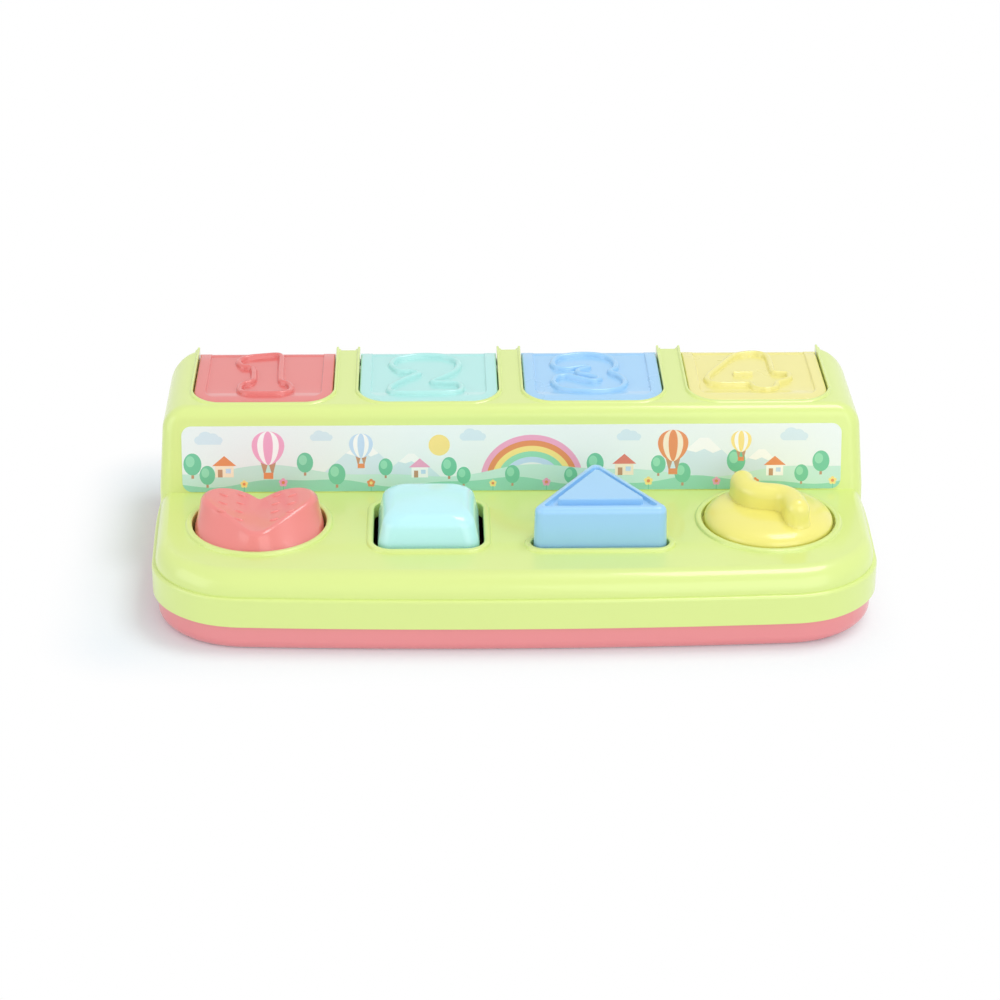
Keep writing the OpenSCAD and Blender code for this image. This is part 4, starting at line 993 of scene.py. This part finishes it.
class Print:  # flat shapes in painter's order, each drawn in its own size round its own place
    def __init__(self):
        self.shapes = []

    def shape(self, ink, points, u=0.0, w=0.0, size=1.0):
        points = np.array(points, float) * size + np.array((u, w))
        turn = np.roll(points, -1, 0)
        if (points[:, 0] * turn[:, 1] - turn[:, 0] * points[:, 1]).sum() < 0:
            points = points[::-1]
        self.shapes.append((list(inks).index(ink), points))

    def oval(self, ink, u, w, ru, rw, start=0, end=360, steps=26):
        around = np.radians(np.linspace(start, end, steps, endpoint=end - start < 360))
        self.shape(ink, np.column_stack([u + ru * np.cos(around), w + rw * np.sin(around)]))

    def box(self, ink, u0, w0, u1, w1, *place):
        self.shape(ink, [(u0, w0), (u1, w0), (u1, w1), (u0, w1)], *place)

    def hills(self, ink, base, rise, length, phase):
        ridge = [(u, base + rise * math.sin(u / length + phase) + 0.4 * rise * math.sin(u / length * 2.3 + 1))
                 for u in np.linspace(137, -137, 90)]
        self.shape(ink, [(-137, -2), (137, -2)] + ridge)

    def cloud(self, u, w, size):
        for du, dw, r in ((-1.3, 0, 0.7), (-0.5, 0.4, 0.95), (0.5, 0.25, 0.85), (1.25, 0, 0.6)):
            self.oval("mist", u + du * size, w + dw * size, r * size, r * size * 0.85)
        self.box("mist", -1.6, -0.6, 1.6, 0, u, w, size)

    def balloon(self, body, stripe, u, w, size):
        ropes = [(-0.5, -0.8), (-0.3, -1.6), (-0.2, -1.6), (0, -0.9), (0.2, -1.6), (0.3, -1.6), (0.5, -0.8)]
        self.shape("trunk", ropes, u, w, size)
        for ink, wide in ((body, 1.0), (stripe, 0.66), (body, 0.3)):  # a drop shape with upright stripes
            self.shape(ink, [(wide * math.cos(a) * (1 + 0.16 * math.sin(a)), 1.06 * math.sin(a)) for a in circle(40)],
                       u, w, size)
        self.box("orange", -0.3, -1.95, 0.3, -1.55, u, w, size)

    def tree(self, u, w, size):
        self.box("trunk", -0.12, -1.3, 0.12, 0, u, w, size)
        self.oval("crown", u, w, 0.8 * size, size)
        self.oval("bright", u - 0.2 * size, w + 0.25 * size, 0.4 * size, 0.5 * size)

    def house(self, u, w, size, wall, roof):
        self.box(wall, -1, 0, 1, 1.3, u, w, size)
        self.shape(roof, [(-1.3, 1.25), (1.3, 1.25), (0, 2.35)], u, w, size)
        self.box("trunk", -0.7, 0, -0.2, 0.85, u, w, size)
        self.box("blue", 0.15, 0.45, 0.7, 0.95, u, w, size)

    def peak(self, u, w, wide, high):
        size = np.array((wide, high))
        self.shape("mist", [(-1, 0), (1, 0), (0.12, 1), (-0.05, 1)], u, w, size)
        snow = [(-0.31, 0.72), (-0.12, 0.66), (0.04, 0.74), (0.2, 0.64), (0.36, 0.72), (0.12, 1), (-0.05, 1)]
        self.shape("white", snow, u, w, size)

    def flower(self, u, w, size, ink):
        self.box("crown", u - 0.16, -1, u + 0.16, w)
        for du, dw in arc(0.62 * size, 18, 306, 5):  # five petals
            self.oval(ink, u + du, w + dw, 0.48 * size, 0.48 * size, steps=14)
        self.oval("orange" if ink != "orange" else "yellow", u, w, 0.42 * size, 0.42 * size, steps=14)


def labelEdge():  # a round-cornered strip whose lower edge clears the dial's raised rim
    half, low = label["half"], label["low"]
    points = list(map(tuple, boxLoop(-half, half, low, label["high"], label["corner"], label["corner"], 8)[0]))
    points += [(u, low + label["rimRise"] * math.exp(-((u - toy["columns"][3]) / label["rimHalf"]) ** 4))
               for u in np.linspace(-130, 130, 131)]
    return sorted(points, key=lambda p: math.atan2(p[1] - label["middle"], p[0] / 6))  # as seen from the middle


def landscape():
    art = Print()
    art.shape("paper", labelEdge())
    for u, wide, high in ((-62, 20, 17), (-42, 15, 12), (78, 22, 18), (102, 16, 13)):
        art.peak(u, 4, wide, high)
    for place in ((-124, 22, 3.0), (-78, 23, 2.4), (-16, 23, 2.8), (48, 22.6, 2.6), (116, 22.5, 3.0)):
        art.cloud(*place)
    for k, ink in enumerate(("pink", "orange", "yellow", "bright", "blue", "paper")):
        art.oval(ink, 8, 5, 21 - 2.3 * k, 18.6 - 2.3 * k, 0, 180, 40)
    art.oval("yellow", -30, 19.5, 4.4, 4.4)
    art.hills("far", 8.6, 2.2, 19, 0.6)
    for place in ((-131, 12, 4.6), (-85, 12.5, 4.2), (-52, 10.5, 3.6), (-26, 10.5, 4.0), (34, 11.5, 4.4), (60, 11, 3.8),
                  (92, 12.4, 4.8), (127, 12, 4.4)):
        art.tree(*place)
    for house in ((-118, 6.5, 3.8, "cream", "orange"), (-38, 6, 3.4, "white", "pink"), (46, 6.5, 3.8, "cream", "brick"),
                  (108, 6, 3.5, "white", "orange")):
        art.house(*house)
    art.hills("meadow", 4.2, 1.5, 13, 1.9)
    for place in ((-125, 7.4, 4.0), (-72, 7.6, 4.4), (-20, 6.8, 3.6), (0, 7.2, 3.8), (24, 6.6, 3.4), (70, 7.4, 4.2),
                  (119, 7, 3.6)):
        art.tree(*place)
    for balloon in (("pink", "white", -100, 18.6, 6.6), ("blue", "white", -62, 19.4, 4.8),
                    ("orange", "cream", 66, 18.8, 6.2), ("yellow", "white", 94, 20.4, 4.2)):
        art.balloon(*balloon)
    for flower in ((-110, 3.6, 1.5, "yellow"), (-94, 4.2, 1.7, "pink"), (-58, 3.8, 1.6, "orange"),
                   (-8, 3.4, 1.4, "yellow"), (14, 3.8, 1.6, "pink"), (40, 3.6, 1.5, "white"), (56, 4.0, 1.7, "yellow"),
                   (84, 3.8, 1.6, "pink"), (100, 3.6, 1.5, "orange"), (132, 3.8, 1.6, "yellow")):
        art.flower(*flower)
    return art.shapes


def makeLabel():
    shapes = landscape()
    points, polygons = [], []
    for _, shape in shapes:
        polygons.append(list(range(len(points), len(points) + len(shape))))
        points += [Vector(p) for p in shape]
    flat, _, corners, _, _, owners = delaunay_2d_cdt(points, [], polygons, 1, 1e-4, True)
    lean, skin, sheets, edges = toy["lean"], Skin(), [], set()
    for rise in (label["lift"] + label["thick"], label["lift"]):  # the printed face and the back
        sheets.append(skin.ring([(p[0], toy["panelY"] + p[1] * math.sin(lean) - rise * math.cos(lean),
                                  toy["deck"] + p[1] * math.cos(lean) + rise * math.sin(lean)) for p in flat]))
    for three, own in zip(corners, owners):
        if 0 in own:
            skin.face([sheets[0][i] for i in three], shapes[max(own)][0])  # the last shape printed shows
            skin.face([sheets[1][i] for i in three[::-1]])
            edges.update(zip(three, three[1:] + three[:1]))
    for a, b in sorted(edges):
        if (b, a) not in edges:
            skin.face([sheets[0][b], sheets[0][a], sheets[1][a], sheets[1][b]])
    piece = skin.become("printedLabel", [printedFilm(name + "Ink", colour) for name, colour in inks.items()], 0.0001)
    settle(piece, "housing", "front_label")


makeLabel()
print("label printed")

figures = {"size": 14.5, "midY": 40.54, "sunk": 0.05, "eyes": (0.36, -0.1, 0.11),
           "cheeks": (0.6, 0.24, 0.15), "catEars": (("fur", 1.0, 0.0), ("blush", 0.6, 0.16)), "catLean": 20}
figureInks = ("fur", "cream", "blush", "cocoa", "beak")
arms, belly = ("fur", (0.56, 0.9, 0.3), (0.2, 0.34, 0.22)), ("cream", (0, 1.0, 0.3), (0.46, 0.5, 0.47))
figureParts = {  # ink, place (sideways, down, forward) and radii in head sizes, turn; a sideways place is doubled
    "bear": [("fur", (0.76, -0.72, 0.03), (0.38, 0.38, 0.38)), ("blush", (0.76, -0.7, 0.24), (0.22, 0.22, 0.22)),
             ("cream", (0, 0.21, 0.9), (0.38, 0.32, 0.36)), ("cocoa", (0, 0.07, 1.22), (0.13, 0.1, 0.09)),
             ("cream", (0, 1.0, 0.3), (0.48, 0.5, 0.48)), ("fur", (0.58, 0.9, 0.3), (0.2, 0.34, 0.22))],
    "rabbit": [("fur", (0.86, -0.8, 0.07), (0.68, 0.29, 0.29), -0.18),
               ("blush", (0.9, -0.8, 0.22), (0.46, 0.16, 0.19), -0.18),
               ("cream", (0, 0.24, 0.93), (0.3, 0.24, 0.3)), ("blush", (0, 0.1, 1.18), (0.1, 0.08, 0.08)), belly, arms],
    "cat": [("cream", (0.13, 0.26, 0.93), (0.2, 0.18, 0.26)), ("blush", (0, 0.1, 1.1), (0.1, 0.08, 0.08)), belly, arms],
    "chick": [("fur", (0.83, 0.86, 0.07), (0.26, 0.4, 0.3)), ("beak", (0, 0.17, 1.0), (0.24, 0.16, 0.24)),
              ("fur", (0, -0.97, 0.14), (0.18, 0.22, 0.18)), ("fur", (0.18, -0.92, 0.14), (0.17, 0.2, 0.17)), belly],
}


def catEar(skin, side, ink, thick, ahead, middle):  # a cone that leans outwards
    size, lean = figures["size"], side * math.radians(figures["catLean"])
    rows = []
    for t in np.linspace(0, 1, 8):
        wide, out = (0.38 - 0.3 * t) * thick * size, (0.3 + 0.69 * t * (0.6 + 0.4 * thick)) * size
        x, y = middle[0] + side * 0.45 * size + out * math.sin(lean), middle[1] - 0.32 * size - out * math.cos(lean)
        rows.append([(x + wide * math.cos(a) * math.cos(lean), y + wide * math.cos(a) * math.sin(lean),
                      lid["under"] - ahead * size + wide * math.sin(a)) for a in circle(24)])
    skin.loft(rows, caps=True, ink=figureInks.index(ink))


def makeFigure(index, kind):
    x, y, size, under = toy["columns"][index - 1], figures["midY"], figures["size"], lid["under"]
    skin = Skin()

    def part(ink, place, radii, turn=0.0):
        for side in ((-1, 1) if place[0] else (1,)):
            skin.ball((x + side * place[0] * size, y + place[1] * size, under - place[2] * size),
                      [r * size for r in radii], figureInks.index(ink), turn=side * turn)

    def onHead(ink, across, down, radius):  # a spot that lies on the head
        ahead = 0.1 + math.sqrt(1 - across ** 2 - down ** 2) - 0.35 * radius
        part(ink, (across, down, ahead), (radius, radius, 0.7 * radius))

    part("fur", (0, 0.93, 0), (0.72, 0.72, 0.72))
    part("fur", (0, 0, 0.1), (1, 1, 1))
    for piece in figureParts[kind]:
        part(*piece)
    onHead("cocoa", *figures["eyes"])
    onHead("blush", *figures["cheeks"])
    if kind == "cat":
        for side in (-1, 1):
            for ear in figures["catEars"]:
                catEar(skin, side, *ear, (x, y))
    skin.points = [(px, py, min(pz, under + figures["sunk"])) for px, py, pz in skin.points]  # flat against the lid
    piece = skin.become(kind + "Figure", [plastic[kind if ink == "fur" else ink] for ink in figureInks], 0.0002)
    settle(smooth(piece, 60), "lid_%d" % index, kind + "_figure")


for index, kind in enumerate(("bear", "rabbit", "cat", "chick"), 1):
    makeFigure(index, kind)
print("figures made")

asBuilt = {"well_frame": plastic["lime"], "rocker_axle": steel, "housing_screws": steel}  # CAD pieces shown as they are
for index in range(1, 5):
    asBuilt["latch_%d" % index], asBuilt["hinge_pin_%d" % index] = plastic["grey"], steel
for node, material in asBuilt.items():
    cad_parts[node].data.materials.clear()
    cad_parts[node].data.materials.append(material)
